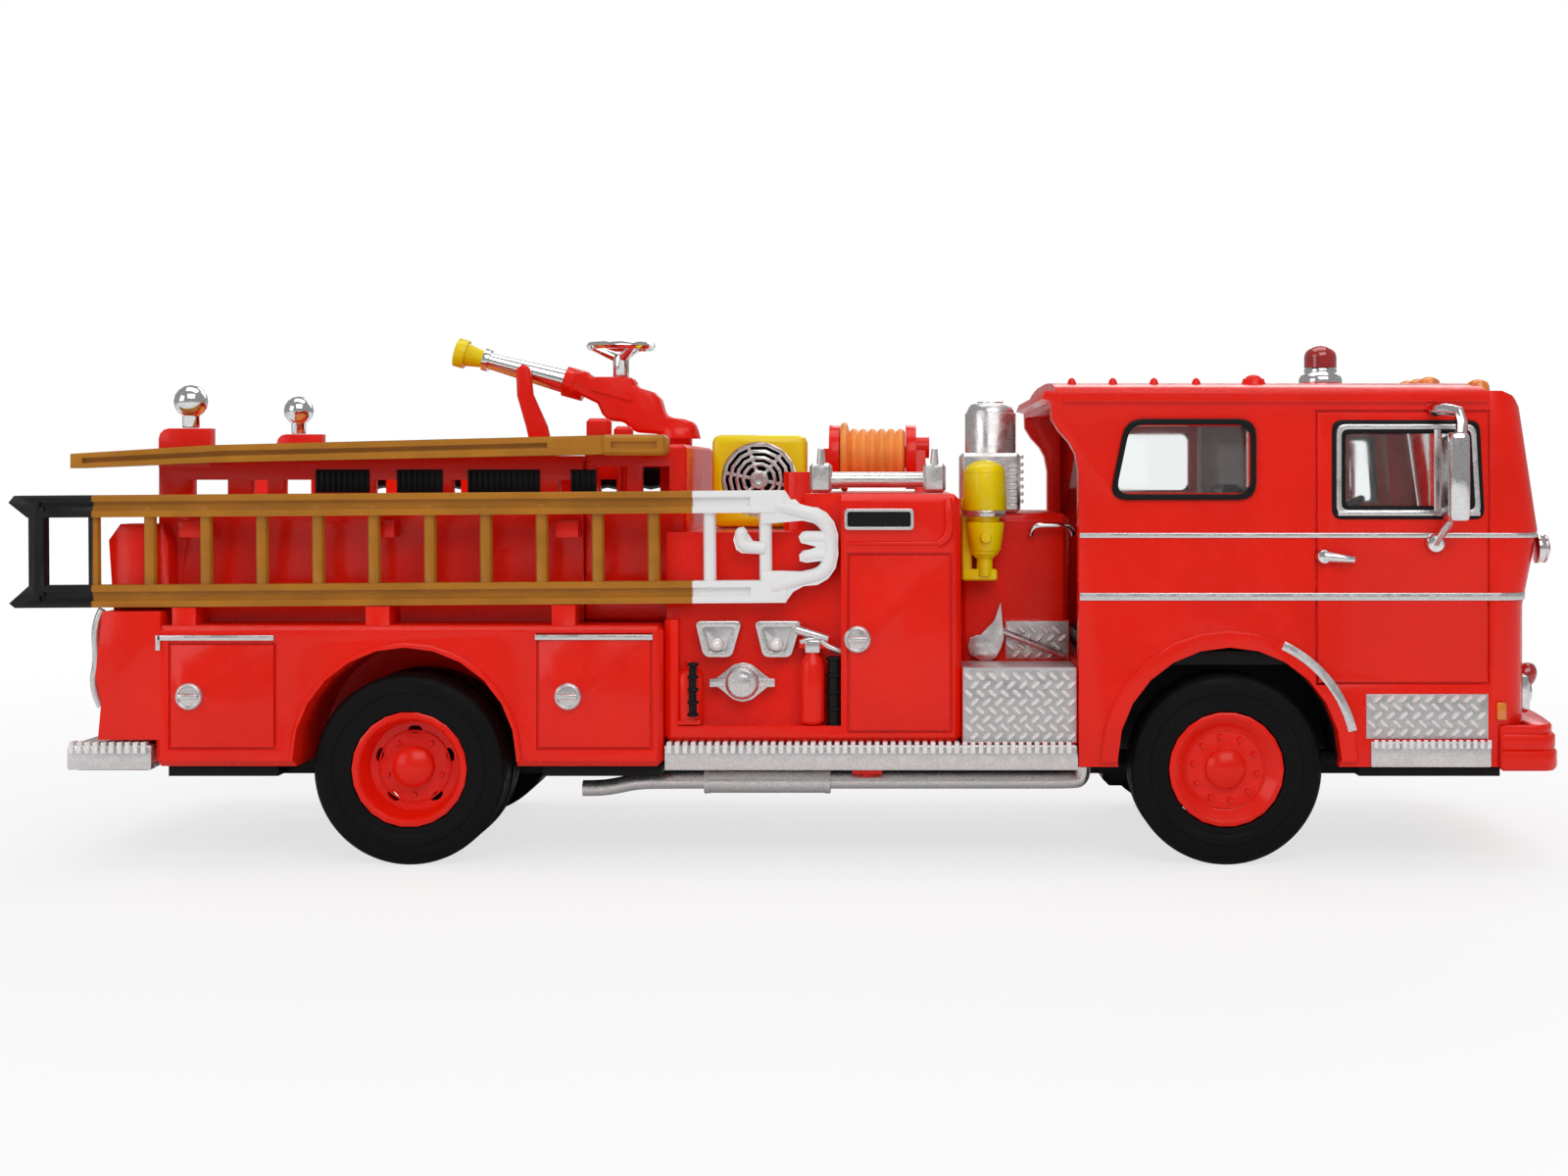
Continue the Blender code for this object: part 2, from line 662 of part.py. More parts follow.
def build_pump_house(paints):
    foot = BOARD_Z + SEAT_GAP
    shape = box((PUMP_REAR_X, PUMP_FRONT_X), (-PUMP_HALF_WIDTH, PUMP_HALF_WIDTH), (foot, PUMP_TOP_Z), "pump_house")
    house = round_edges(shape, 0.6)
    deck_x = (PUMP_REAR_X - 1, FAN_DECK_FRONT_X)
    cut(house, box(deck_x, (-25, 25), (FAN_DECK_Z, PUMP_TOP_Z + 2), "fan_deck"))
    panel_x = (PUMP_REAR_X + 1.2, LADDER_FRONT_X + 0.2)
    door_x = (PUMP_FRONT_X - 9.75, PUMP_FRONT_X - 0.75)
    plate_x = (PUMP_FRONT_X - 9.95, PUMP_FRONT_X - 4.05)
    for side in (-1, 1):
        span = outward(side, PANEL_Y, 25)
        cut(house, box(panel_x, span, (BOARD_Z + 1.6, LADDER_LOW_Z + 1.0), "panel_recess"))
        cut(house, box((PUMP_REAR_X - 1.0, panel_x[1]), span, (LADDER_LOW_Z - 1.0, PUMP_TOP_Z + 9), "ladder_recess"))
        cut(house, door_groove(door_x, (BOARD_Z + 1.0, PUMP_TOP_Z - 5.0), PUMP_HALF_WIDTH, side))
        join(house, *latch(door_x[0] + 0.9, BOARD_Z + 9.0, PUMP_HALF_WIDTH, side))
        frame_y = outward(side, PUMP_HALF_WIDTH - 0.3, PUMP_HALF_WIDTH + 0.25)
        join(house, box(plate_x, frame_y, (PUMP_TOP_Z - 3.1, PUMP_TOP_Z - 1.2), "plate_frame"))
    # Notch for the gun platform's front wall
    notch_half = BED_HALF_WIDTH + SEAT_GAP
    notch_x = (PUMP_REAR_X - 1, PUMP_REAR_X + 1.5 + SEAT_GAP)
    cut(house, box(notch_x, (-notch_half, notch_half), (LOCKER_TOP_Z, PUMP_TOP_Z + 1), "platform_notch"))
    # Valve body on the fan deck
    valve_x = FAN_DECK_FRONT_X - 0.95
    join(house, rod((valve_x, -8, FAN_DECK_Z - 0.5), (valve_x, -8, FAN_DECK_Z + 5.2), 1.3, 10, name="valve"))
    return node("pump_house", house, paints["red"])


def build_tool_board(side, paints):
    """Two trapezoid plates with knobs on a common back, on the pump panel."""
    y = PANEL_Y
    low_z = BOARD_Z + 7.2
    centre_x = PUMP_REAR_X + 6.95
    back_y = outward(side, y + SEAT_GAP, y + 0.5)
    base = box((centre_x - 4.85, centre_x + 4.85), back_y, (low_z, low_z + 1.0), "tray_back")
    for start in (centre_x - 4.55, centre_x + 0.45):
        end = start + 4.0
        outline = [
            (start, low_z + 0.2),
            (end, low_z + 0.2),
            (end - 0.5, low_z + 3.6),
            (start + 0.4, low_z + 3.6),
        ]
        join(base, plate(outline, outward(side, y + SEAT_GAP, y + 0.7), name="tool_board"))
        knob = (start + 2.0, low_z + 1.7)
        join(base, rod((knob[0], side * (y + 0.3), knob[1]), (knob[0], side * (y + 1.6), knob[1]), 0.5, 12))
    return node(f"tool_boards_{side_key(side)}", base, paints["silver"])


def build_discharge(side, paints):
    """A capped hose outlet with two ears."""
    y = PANEL_Y
    x = PUMP_REAR_X + 6.6
    z = BOARD_Z + 5.2
    cap = rod((x, side * (y + SEAT_GAP), z), (x, side * (y + 1.6), z), 1.45, 16)
    round_edges(cap, 0.3)
    join(cap, rod((x, side * (y + 1.2), z), (x, side * (y + 2.1), z), 0.75, 10))
    join(cap, box((x - 2.8, x + 2.8), outward(side, y + 0.5, y + 1.1), (z - 0.35, z + 0.35), "ears"))
    return node(f"discharge_cap_{side_key(side)}", cap, paints["silver"])


def build_extinguisher(name, x, radius, low, height, material):
    """A bottle on the right-hand panel: barrel with domed top, neck and lever."""
    y = -(PANEL_Y + radius + SEAT_GAP)
    high = low + height
    profile = [
        (0.0, high - 0.6),
        (radius * 0.45, high - 0.7),
        (radius * 0.5, high - 1.3),
        (radius * 0.85, high - 1.8),
        (radius, high - 2.5),
        (radius, low + 0.3),
        (radius - 0.3, low),
        (0.0, low),
    ]
    bottle = turned(profile, (x, y, 0), (0, 0, 1), 14, name)
    join(bottle, box((x - radius, x + radius * 1.1), (y - 0.25, y + 0.25), (high - 0.8, high), "lever"))
    return node(name, bottle, material)


def build_pump_details(paints):
    for side in (-1, 1):
        build_tool_board(side, paints)
        build_discharge(side, paints)
    build_extinguisher("extinguisher_a", PUMP_REAR_X + 2.0, 0.75, BOARD_Z + 1.9, 4.9, paints["red"])
    build_extinguisher("extinguisher_b", PUMP_REAR_X + 12.6, 1.1, BOARD_Z + 1.7, 7.3, paints["red"])


def build_crew_step(paints):
    """Deck, riser and engine cover between the pump house and the cab."""
    x = (PUMP_FRONT_X + SEAT_GAP, CAB_REAR_X - SEAT_GAP)
    step = box(x, (-PUMP_HALF_WIDTH, PUMP_HALF_WIDTH), (BOARD_Z + SEAT_GAP, DECK_Z), "crew_step")
    cover_y = (-COVER_HALF_WIDTH, COVER_HALF_WIDTH)
    join(step, box(x, cover_y, (DECK_Z - 1, COVER_TOP_Z), "engine_cover", 0.6))
    join(step, box((x[0] + 4.0, x[1]), (-COVER_HALF_WIDTH - 0.2, 0), (DECK_Z - 1, DECK_Z + 3.6), "kick_plate"))
    return node("crew_step", step, paints["red"])


def side_outline(wall=0.0):
    """Side view of the cab as (X, Z), set in by a wall on all but the open rear and the bottom."""
    # Set-back from the nose, height above the sill
    front = (
        (1.6, 0.0),
        (1.4, 3.7),
        (1.3, 13.9),
        (0.9, 15.6),
        (0.2, 17.3),
        (0.0, 20.0),
        (1.6, 30.6),
        (2.5, 31.6),
        (3.6, CAB_HEIGHT),
    )
    outline = [(CAB_NOSE_X - back - wall, SILL_Z + rise) for back, rise in front[:-2]]
    if wall:
        outline[0] = (outline[0][0], SILL_Z - 2)
        top = ROOF_EDGE_Z - wall
        rear = CAB_REAR_X + wall
        outline[-1] = (CAB_NOSE_X - 1.4 - wall, SILL_Z + 29.9)
        return [(rear, SILL_Z - 2)] + outline + [(CAB_NOSE_X - 3.2 - wall, top), (rear, top)]
    outline += [(CAB_NOSE_X - back, SILL_Z + rise) for back, rise in front[-2:]]
    # Set-back from the rear, drop below the roof's edge
    rear = ((2.85, 0.0), (3.1, 0.7), (2.35, 0.9), (2.3, 2.4), (1.7, 3.4), (0.8, 4.4), (0.3, 5.3), (0.0, 6.8))
    outline += [(CAB_REAR_X - back, ROOF_EDGE_Z - drop) for back, drop in rear]
    return [(CAB_REAR_X, SILL_Z)] + outline


def rounded_front(levels, radius):
    """A tall block with rounded front corners, its nose at a given X for each height."""
    first_z, first_x = levels[0]
    corner = arc((first_x - radius, HALF_WIDTH - radius), radius, 0, 90, 6)
    outline = corner + [(0, HALF_WIDTH), (0, -HALF_WIDTH)] + [(x, -y) for x, y in corner[::-1]]
    bm = bmesh.new()
    face = bm.faces.new([bm.verts.new(Vector((x, y, first_z)) * MM) for x, y in outline])
    for (z0, x0), (z1, x1) in zip(levels[:-1], levels[1:]):
        raised = bmesh.ops.extrude_face_region(bm, geom=[face])["geom"]
        for vert in raised:
            if isinstance(vert, bmesh.types.BMVert):
                vert.co.z += (z1 - z0) * MM
                vert.co.x += (x1 - x0) * MM if vert.co.x > MM else 0.0
        if z0 > first_z:
            bm.faces.remove(face)
        face = next(item for item in raised if isinstance(item, bmesh.types.BMFace))
    return helper("rounded_front", mesh_of(bm, "rounded_front"))


def roof_crown():
    """The roof's low dome between the drip rails."""
    half = HALF_WIDTH - 1.5
    low = ROOF_EDGE_Z - 0.1
    outline = [(-half + 0.2, low - 0.5), (half - 0.2, low - 0.5)]
    for i in range(13):
        angle = math.pi * i / 12
        outline.append((half * math.cos(angle), low + (ROOF_RISE + 0.1) * math.sin(angle) ** 0.8))
    return round_edges(plate(outline, (CAB_REAR_X - 1.9, CAB_NOSE_X - 4.6), "YZ", name="roof_crown"), 0.5)


def build_cab_shell(paints):
    shell = plate(side_outline(), (-HALF_WIDTH - 1, HALF_WIDTH + 1), name="cab")
    nose = CAB_NOSE_X
    levels = (
        (SILL_Z - 1.0, nose - 1.2),
        (SILL_Z + 13.7, nose - 1.2),
        (SILL_Z + 20.1, nose + 0.1),
        (ROOF_EDGE_Z + 2.0, nose - 2.0),
    )
    boolean(shell, rounded_front(levels, 3.0), "INTERSECT")
    join(shell, roof_crown())
    rail_x = (CAB_REAR_X - 1.3, CAB_NOSE_X - 4.9)
    ledge_x = (AXLE_FRONT_X + 12.1, CAB_NOSE_X - 4.8)
    for side in (-1, 1):
        rail_y = outward(side, HALF_WIDTH - 0.4, HALF_WIDTH + 0.35)
        join(shell, box(rail_x, rail_y, (ROOF_EDGE_Z - 0.95, ROOF_EDGE_Z - 0.5), "drip_rail"))
        join(shell, box(ledge_x, rail_y, (SILL_Z + 0.05, SILL_Z + 2.1), "step_ledge"))
        join(shell, arch_ring(AXLE_FRONT_X, side, FRONT_LIP_WIDTH))
    inside = HALF_WIDTH - WALL
    cut(shell, plate(side_outline(WALL), (-inside, inside), name="cab_hollow"))
    # Open canopy at the rear, above the engine cover's sides
    canopy_x = (CAB_REAR_X - 6, CAB_REAR_X + 3)
    cut(shell, box(canopy_x, (0.7 - inside, inside - 0.7), (DECK_Z + 0.4, ROOF_EDGE_Z - 1.4), "canopy"))
    # Side windows: rear quarter, door and vent pane
    quarter_x = (CAB_REAR_X + 3.15, AXLE_FRONT_X + 1.7)
    low, high = ROOF_EDGE_Z - 8.7, ROOF_EDGE_Z - 3.0
    quarter = [(quarter_x[0], low), (quarter_x[1], low), (quarter_x[1], high), (quarter_x[0] + 1.2, high)]
    low, high = ROOF_EDGE_Z - 10.0, ROOF_EDGE_Z - 3.3
    door_glass = [(nose - 17.4, low), (nose - 9.6, low), (nose - 9.6, high), (nose - 17.4, high)]
    vent = [(nose - 8.8, low), (nose - 5.8, low), (nose - 6.2, high), (nose - 8.8, high)]
    for outline in (quarter, door_glass, vent):
        cut(shell, plate(outline, (-HALF_WIDTH - 1, HALF_WIDTH + 1), name="side_window"))
    low, high = ROOF_EDGE_Z - 10.4, ROOF_EDGE_Z - 2.3
    door_x = (AXLE_FRONT_X + 7.3, nose - 4.7)
    for side in (-1, 1):
        span = outward(side, 0.45, HALF_WIDTH - 3.2)
        outline = [(span[0], low), (span[1], low), (span[1], high), (span[0], high)]
        cut(shell, plate(outline, (nose - 4, nose + 2), "YZ", name="windscreen"))
        cut(shell, well_cutter(AXLE_FRONT_X, side, FRONT_TYRE_WIDTH + 0.4))
        cut(shell, door_groove(door_x, (ARCH_Z + 6.3, ROOF_EDGE_Z - 1.6), HALF_WIDTH, side))
    # Plain grille opening with bars left standing in it
    face = nose - 1.3
    for i in range(5):
        z = SILL_Z + 5.2 + 1.3 * i
        cut(shell, box((face - 0.5, face + 1), (-7.5, 7.5), (z, z + 0.7), "grille_slot"))
    return node("cab_shell", shell, paints["red"])


def build_glass(paints):
    y = HALF_WIDTH - WALL - SEAT_GAP
    low, high = ROOF_EDGE_Z - 10.6, ROOF_EDGE_Z - 2.0
    nose = CAB_NOSE_X
    pane = [(CAB_REAR_X + 1.85, low), (nose - 4.6, low), (nose - 5.4, high), (CAB_REAR_X + 3.25, high)]
    for side in (-1, 1):
        glass = plate(pane, outward(side, y, y - 0.6), name="glass_side")
        node(f"glass_side_{side_key(side)}", glass, paints["glass"])
    front = nose - WALL - SEAT_GAP
    low = ROOF_EDGE_Z - 11.2
    high = ROOF_EDGE_Z - 2.1
    pane = [(front - 0.15, low), (front - 1.45, high), (front - 2.05, high), (front - 0.75, low)]
    half = HALF_WIDTH - 3.0
    return node("glass_front", plate(pane, (-half, half), name="glass_front"), paints["glass"])


def build_interior(paints):
    """Floor, engine tunnel, four seats and a dashboard, as one moulding."""
    floor_x = (CAB_REAR_X + 2.0, CAB_NOSE_X - 7.0)
    floor_half = HALF_WIDTH - 2.0
    low = DECK_Z + 0.2
    root = DECK_Z + 1.0
    tub = box(floor_x, (-floor_half, floor_half), (low, low + 1.2), "floor")
    join(tub, box((floor_x[0] + 0.5, CAB_NOSE_X - 14), (-5.2, 5.2), (root, DECK_Z + 10.1), "engine_tunnel", 0.5))
    # Rear X from the nose, length, height above the deck
    blocks = (
        (-22.0, 6.0, 8.1),
        (-23.4, 2.0, 15.6),
        (-34.5, 4.5, 7.1),
        (-30.0, 1.6, 14.1),
    )
    for side in (-1, 1):
        seat_y = outward(side, HALF_WIDTH - 12.0, HALF_WIDTH - 4.0)
        for start, length, height in blocks:
            x = (CAB_NOSE_X + start, CAB_NOSE_X + start + length)
            join(tub, box(x, seat_y, (root, DECK_Z + height), "seat", 0.5))
    dash_x = (CAB_NOSE_X - 8.4, CAB_NOSE_X - 5.0)
    dash_half = HALF_WIDTH - 3.0
    join(tub, box(dash_x, (-dash_half, dash_half), (root, DECK_Z + 12.1), "dash", 0.6))
    return node("cab_interior", tub, paints["black"])


def build_steering_wheel(paints):
    centre = Vector((CAB_NOSE_X - 11.0, HALF_WIDTH - 8.0, DECK_Z + 13.1))
    tilt = Matrix.Rotation(math.radians(-30), 3, "Y")
    rim_radius = 2.3
    wheel = rod(centre + tilt @ Vector((0, 0, 0.35)), centre + tilt @ Vector((0, 0, -0.6)), 0.7, 12, name="hub")
    join(wheel, hoop(centre, tilt @ Vector((0, 0, 1)), rim_radius, 0.3, 16, 6))
    for i in range(3):
        angle = math.tau * (i + 0.1) / 3
        out = tilt @ Vector((math.cos(angle), math.sin(angle), 0))
        join(wheel, rod(centre + out * 0.2, centre + out * rim_radius, 0.22, 8))
    join(wheel, rod(centre, centre + tilt @ Vector((0, 0, -2.6)), 0.4, 10))
    return node("steering_wheel", wheel, paints["black"])


def build_base_plate(paints):
    """Underside plate with frame rails, sump, shaft, differential and the axles' bores."""
    top = SILL_Z - SEAT_GAP
    x = (BODY_REAR_X + 0.4, CAB_NOSE_X - 3.4)
    base = box(x, (-BASE_HALF_WIDTH, BASE_HALF_WIDTH), (BASE_Z, top), "base_plate")
    wide = HALF_WIDTH - 1.6
    # Wide panels between and beyond the wheels: X span, half width
    panels = (
        ((BODY_REAR_X + 0.7, AXLE_REAR_X - ARCH_RADIUS - 1.8), wide),
        ((AXLE_REAR_X + ARCH_RADIUS + 1.9, PUMP_REAR_X - 0.4), wide),
        ((PUMP_REAR_X - 1.0, AXLE_FRONT_X - ARCH_RADIUS - 1.6), wide - 5.6),
        ((AXLE_FRONT_X + ARCH_RADIUS + 1.9, x[1]), wide),
    )
    for span, half in panels:
        join(base, box(span, (-half, half), (BASE_Z + 0.2, top - 0.02), "wide_panel"))
    for side in (-1, 1):
        rail_x = (x[0] + 0.6, x[1] - 2.6)
        join(base, box(rail_x, outward(side, 3.6, 5.0), (BASE_Z - 1.3, BASE_Z + 0.1), "frame_rail"))
    sump_x = (AXLE_FRONT_X - 9.1, AXLE_FRONT_X + 6.9)
    join(base, box(sump_x, (-3.0, 3.0), (BASE_Z - 2.8, BASE_Z + 0.1), "engine_sump", 0.6))
    shaft_z = BASE_Z - 0.8
    join(base, rod((AXLE_REAR_X + 4.9, 0, shaft_z), (sump_x[0] + 0.5, 0, shaft_z), 0.7, 12, name="drive_shaft"))
    join(base, ball((AXLE_REAR_X, 0, BASE_Z - 1.2), 2.25, 12, 8, name="differential"))
    reach = BASE_HALF_WIDTH - 0.5
    for axle_x in (AXLE_FRONT_X, AXLE_REAR_X):
        carrier_x = (axle_x - 2.0, axle_x + 2.0)
        join(base, box(carrier_x, (-reach, reach), (BASE_Z - 1.4, top + 0.05), "axle_carrier"))
        bore = AXLE_RADIUS + AXLE_CLEARANCE
        cut(base, rod((axle_x, -20, TYRE_RADIUS), (axle_x, 20, TYRE_RADIUS), bore, 16, name="axle_bore"))
    return node("base_plate", base, paints["black"])


def build_boards(paints):
    """Running boards with a sloping outer edge, and the rear step with its raised tread."""
    low = SILL_Z - 0.3
    for side in (-1, 1):
        edge = side * HALF_WIDTH
        inner = side * (HALF_WIDTH - 7.0)
        outline = [
            (inner, low),
            (edge, low),
            (edge, BOARD_Z - 0.75),
            (edge - side * 1.0, BOARD_Z),
            (inner, BOARD_Z),
        ]
        board = plate(outline, (PUMP_REAR_X + 0.1, CAB_REAR_X - SEAT_GAP), "YZ", name="running_board")
        node(f"running_board_{side_key(side)}", board, paints["red"])
    step_x = (BODY_REAR_X - STEP_LENGTH, BODY_REAR_X - SEAT_GAP)
    step = box(step_x, (-HALF_WIDTH, HALF_WIDTH), (low - 0.1, BOARD_Z + 0.2), "rear_step")
    round_edges(step, 0.8, 2)
    tread = BED_HALF_WIDTH - 1.6
    tread_x = (step_x[0] + 0.8, BED_REAR_X - 0.5)
    join(step, box(tread_x, (-tread, tread), (BOARD_Z - 0.4, BOARD_Z + 0.4), "tread"))
    node("rear_step", step, paints["red"])


def bumper_outline(inset):
    """Plan of the bumper: short sides, rounded corners and a bowed front."""
    half = HALF_WIDTH + 0.6 - inset
    front = CAB_NOSE_X + BUMPER_REACH - inset
    chord = half - 2.0
    sag = 1.5
    radius = (chord * chord + sag * sag) / (2 * sag)
    spread = math.degrees(math.asin(chord / radius))
    bow = arc((front - radius, 0), radius, -spread, spread, 9)
    side_x = front - sag - 1.6
    rear = AXLE_FRONT_X + 23.0
    corner = [(side_x, -half), (side_x + 1.0, -half + 0.7)]
    return [(rear, -half)] + corner + bow + [(x, -y) for x, y in corner[::-1]] + [(rear, half)]


def build_bumper(paints):
    """Front bumper of three rounded lobes that wraps the cab's corners."""
    low = SILL_Z - 0.3
    bumper = plate(bumper_outline(0.4), (low + 0.15, low + 3.75), "XY", name="bumper")
    # Set-back, low and high edge above the bumper's bottom
    for inset, start, end in ((0.0, 0.0, 1.7), (0.12, 1.65, 3.05), (0.35, 3.0, 3.9)):
        lobe = plate(bumper_outline(inset), (low + start, low + end), "XY", name="lobe")
        join(bumper, round_edges(lobe, 0.22))
    room_y = HALF_WIDTH + SEAT_GAP
    cut(bumper, box((0, CAB_NOSE_X - 1.3 + SEAT_GAP), (-room_y, room_y), (SILL_Z - SEAT_GAP, 30), "cab_room"))
    cut(bumper, box((0, CAB_NOSE_X - 3.3), (-room_y, room_y), (0, 30), "base_room"))
    return node("front_bumper", bumper, paints["red"])


def ladder_plate(outline, half):
    """A flat piece of the side ladder, from (X back from its front end, Z above its lower edge)."""
    points = [(LADDER_FRONT_X + x, LADDER_LOW_Z + z) for x, z in outline]
    return plate(points, (LADDER_Y - half, LADDER_Y + half), name="ladder_plate")


def build_side_ladder(paints):
    """Two grooved rails, rungs, a hooked front end and pointed rear ends."""
    half = LADDER_RAIL_THICK / 2
    top = LADDER_HEIGHT
    depth = LADDER_RAIL_DEPTH
    tail = -LADDER_LENGTH
    low_rail = [(tail, 0.4), (tail + 0.5, 0.0), (-4.5, 0.0), (-4.5, depth), (tail + 1.7, depth)]
    high_rail = [(tail, top - 0.6), (tail + 1.6, top - depth), (-4.6, top - depth), (-4.6, top), (tail + 0.5, top)]
    ladder = join(ladder_plate(low_rail, half), ladder_plate(high_rail, half))
    for side in (-1, 1):
        face = LADDER_Y + side * half
        groove_y = sorted((face - side * LADDER_GROOVE, face + side * 1.0))
        groove_x = (LADDER_TAIL_X + 2.6, LADDER_FRONT_X - 7.5)
        for z in (LADDER_LOW_Z + 0.55, LADDER_LOW_Z + top - depth + 0.55):
            cut(ladder, box(groove_x, groove_y, (z, z + depth - 1.1), "rail_groove"))
    pitch = (LADDER_LENGTH - 8.5) / (RUNG_COUNT - 1)
    for i in range(RUNG_COUNT):
        x = LADDER_TAIL_X + 2.25 + i * pitch
        radius = RUNG_RADIUS + (0.35 if i == 0 else 0.0)
        ends = (LADDER_LOW_Z + 1.0, LADDER_LOW_Z + top - 1.0)
        join(ladder, rod((x, LADDER_Y, ends[0]), (x, LADDER_Y, ends[1]), radius, 8, name="rung"))
    head = [
        (-6.6, 9.6), (-4.6, 9.6), (-4.1, 8.8), (-3.7, 8.8), (-3.1, 8.2), (-1.8, 8.1), (-1.0, 7.65),
        (-0.35, 6.85), (0.0, 5.75), (-0.05, 5.0), (0.0, 4.1), (-0.25, 2.9), (-0.9, 2.0), (-1.8, 1.5),
        (-3.0, 1.4), (-3.9, 0.9), (-4.55, 0.0), (-6.6, 0.0), (-6.6, 2.7), (-5.2, 2.7), (-2.55, 2.6),
        (-1.75, 2.8), (-1.2, 3.25), (-1.35, 3.55), (-2.75, 3.4), (-3.3, 3.55), (-3.35, 4.1), (-1.85, 4.75),
        (-3.2, 5.1), (-3.4, 5.65), (-2.75, 6.1), (-1.2, 6.0), (-1.55, 6.65), (-3.0, 7.0), (-5.4, 6.8), (-6.6, 6.8),
    ]
    hook = [
        (-6.2, 5.1), (-7.3, 5.2), (-7.75, 5.9), (-8.15, 6.5), (-8.75, 6.2), (-9.0, 5.4), (-8.75, 4.55),
        (-8.3, 4.25), (-6.8, 4.15), (-6.2, 4.4),
    ]
    join(ladder, ladder_plate(head, half - 0.1), ladder_plate(hook, 0.45))
    ladder = baked(ladder)
    foot = Vector((LADDER_TAIL_X, 0, LADDER_LOW_Z)) * MM
    tilt = Matrix.Rotation(-math.atan(LADDER_RISE / LADDER_LENGTH), 4, "Y")
    ladder.data.transform(Matrix.Translation(foot) @ tilt @ Matrix.Translation(-foot))
    return node("side_ladder", ladder, paints["tan"])


def build_attic_ladder(paints):
    """Folded ladder lying along the right-hand bed rail, deeper at the front, with a front leaf."""
    rail = BED_HALF_WIDTH + 0.2
    outer = rail + 3.2
    rear_x = BED_REAR_X - 6.45
    front_x = PUMP_REAR_X + 0.1
    length = front_x - rear_x
    # Share of the length from the rear, lower and upper edge above the rail's top
    stations = ((0.0, -1.1, 0.15), (0.24, -0.6, 0.9), (0.46, -0.3, 1.1), (0.78, 0.05, 1.65), (0.9, 0.1, 1.75))
    low = [(rear_x + share * length, RAIL_TOP_Z + z) for share, z, _ in stations]
    high = [(rear_x + share * length, RAIL_TOP_Z + z) for share, _, z in stations]
    beam = plate(low + high[::-1], (-outer, -rail), name="attic_ladder")
    groove = [(x + 1.0, (below + above) / 2 - 0.2) for (x, below), (_, above) in zip(low[:-1], high[:-1])]
    groove += [(x, z + 0.45) for x, z in groove[::-1]]
    cut(beam, plate(groove, (-outer - 1.0, 0.5 - outer), name="beam_groove"))
    leaf_x = (front_x - 5.5, front_x)
    leaf_z = (RAIL_TOP_Z, RAIL_TOP_Z + 1.8)
    leaf = round_edges(box(leaf_x, (-outer - 0.5, -rail - 0.2), leaf_z, "front_leaf"), 0.3)
    join(beam, leaf)
    panel_x = (leaf_x[0] + 0.8, leaf_x[1] - 0.8)
    cut(beam, box(panel_x, (-outer - 1.0, -outer - 0.2), (leaf_z[0] + 0.6, leaf_z[1] - 0.6), "leaf_panel"))
    return node("attic_ladder", beam, paints["tan"])


def gun_point(along):
    """A point on the barrel's line, measured from the breech."""
    breech = Vector((GUN_X - 10.3, 0.0, GUN_Z + 6.05))
    return breech + Vector((-math.cos(GUN_TILT), 0.0, math.sin(GUN_TILT))) * along


def gun_plate(outline, half, name):
    """A flat piece of the gun, from (X from the swivel, Z above the platform)."""
    return plate([(GUN_X + x, GUN_Z + z) for x, z in outline], (-half, half), name=name)


def build_gun(paints):
    pivot = (GUN_X, 0, GUN_Z)
    side_view = [
        (-10.1, 5.0), (-9.6, 7.0), (-8.5, 6.95), (-7.9, 6.5), (-4.6, 6.5), (-4.0, 6.3), (-3.9, 5.6),
        (-2.3, 5.1), (-1.6, 4.4), (-1.2, 3.0), (-0.4, 2.65), (0.65, 2.55), (1.6, 2.2), (1.75, 1.3),
        (0.65, 1.0), (-3.7, 1.3), (-4.3, 1.6), (-5.0, 2.3), (-6.4, 2.4), (-7.0, 3.0), (-7.45, 4.0), (-9.3, 4.9),
    ]
    body = round_edges(gun_plate(side_view, GUN_BODY_HALF, "gun_body"), 0.25)
    join(body, rod((GUN_X, 0, GUN_Z + 0.75), (GUN_X, 0, GUN_Z + 1.7), 2.1, 20, 1.85, name="flange"))
    join(body, rod((GUN_X, 0, GUN_Z + GUN_CLEARANCE), (GUN_X, 0, GUN_Z + 2.1), 1.3, 20, name="swivel"))
    join(body, rod(gun_point(-1.6), gun_point(0.35), 1.42, 20, name="breech"))
    rib = [(-8.0, 5.25), (-4.2, 4.2), (-4.2, 4.6), (-8.0, 5.65)]
    join(body, gun_plate(rib, GUN_BODY_HALF + 0.2, "rib"))
    node("gun_body", body, paints["red"], pivot)

    start = 0.35 + SEAT_GAP
    end = start + BARREL_LENGTH
    barrel = rod(gun_point(start), gun_point(end), 1.15, 20, 0.75, name="gun_barrel")
    join(barrel, rod(gun_point(end - 0.6), gun_point(end), 1.05, 20))
    node("gun_barrel", barrel, paints["chrome"], pivot)
    start = end + SEAT_GAP
    end = start + TIP_LENGTH
    tip = rod(gun_point(start), gun_point(end - 0.9), 0.8, 20, 1.1, name="gun_tip")
    join(tip, rod(gun_point(end - 1.0), gun_point(end), 1.35, 20))
    cut(tip, rod(gun_point(end - 1.3), gun_point(end + 1), 0.75, 16))
    node("gun_tip", tip, paints["yellow"], pivot)

    wire = 0.38
    rim_radius = HANDWHEEL_RADIUS - wire
    x = GUN_X - HANDWHEEL_BACK
    z = GUN_Z + HANDWHEEL_RISE
    wheel = rod((x, 0, GUN_Z + 6.5 + SEAT_GAP), (x, 0, z - 0.8), 0.75, 14, name="stem")
    join(wheel, hoop((x, 0, z), (0, 0, 1), rim_radius, wire, 22, 6))
    for i in range(3):
        angle = math.tau * (i + 0.52) / 3
        rim = (x + rim_radius * math.cos(angle), rim_radius * math.sin(angle), z - 0.05)
        join(wheel, rod((x, 0, z - 1.2), rim, 0.5, 8, 0.28, name="spoke"))
    node("gun_handwheel", wheel, paints["chrome"], pivot)


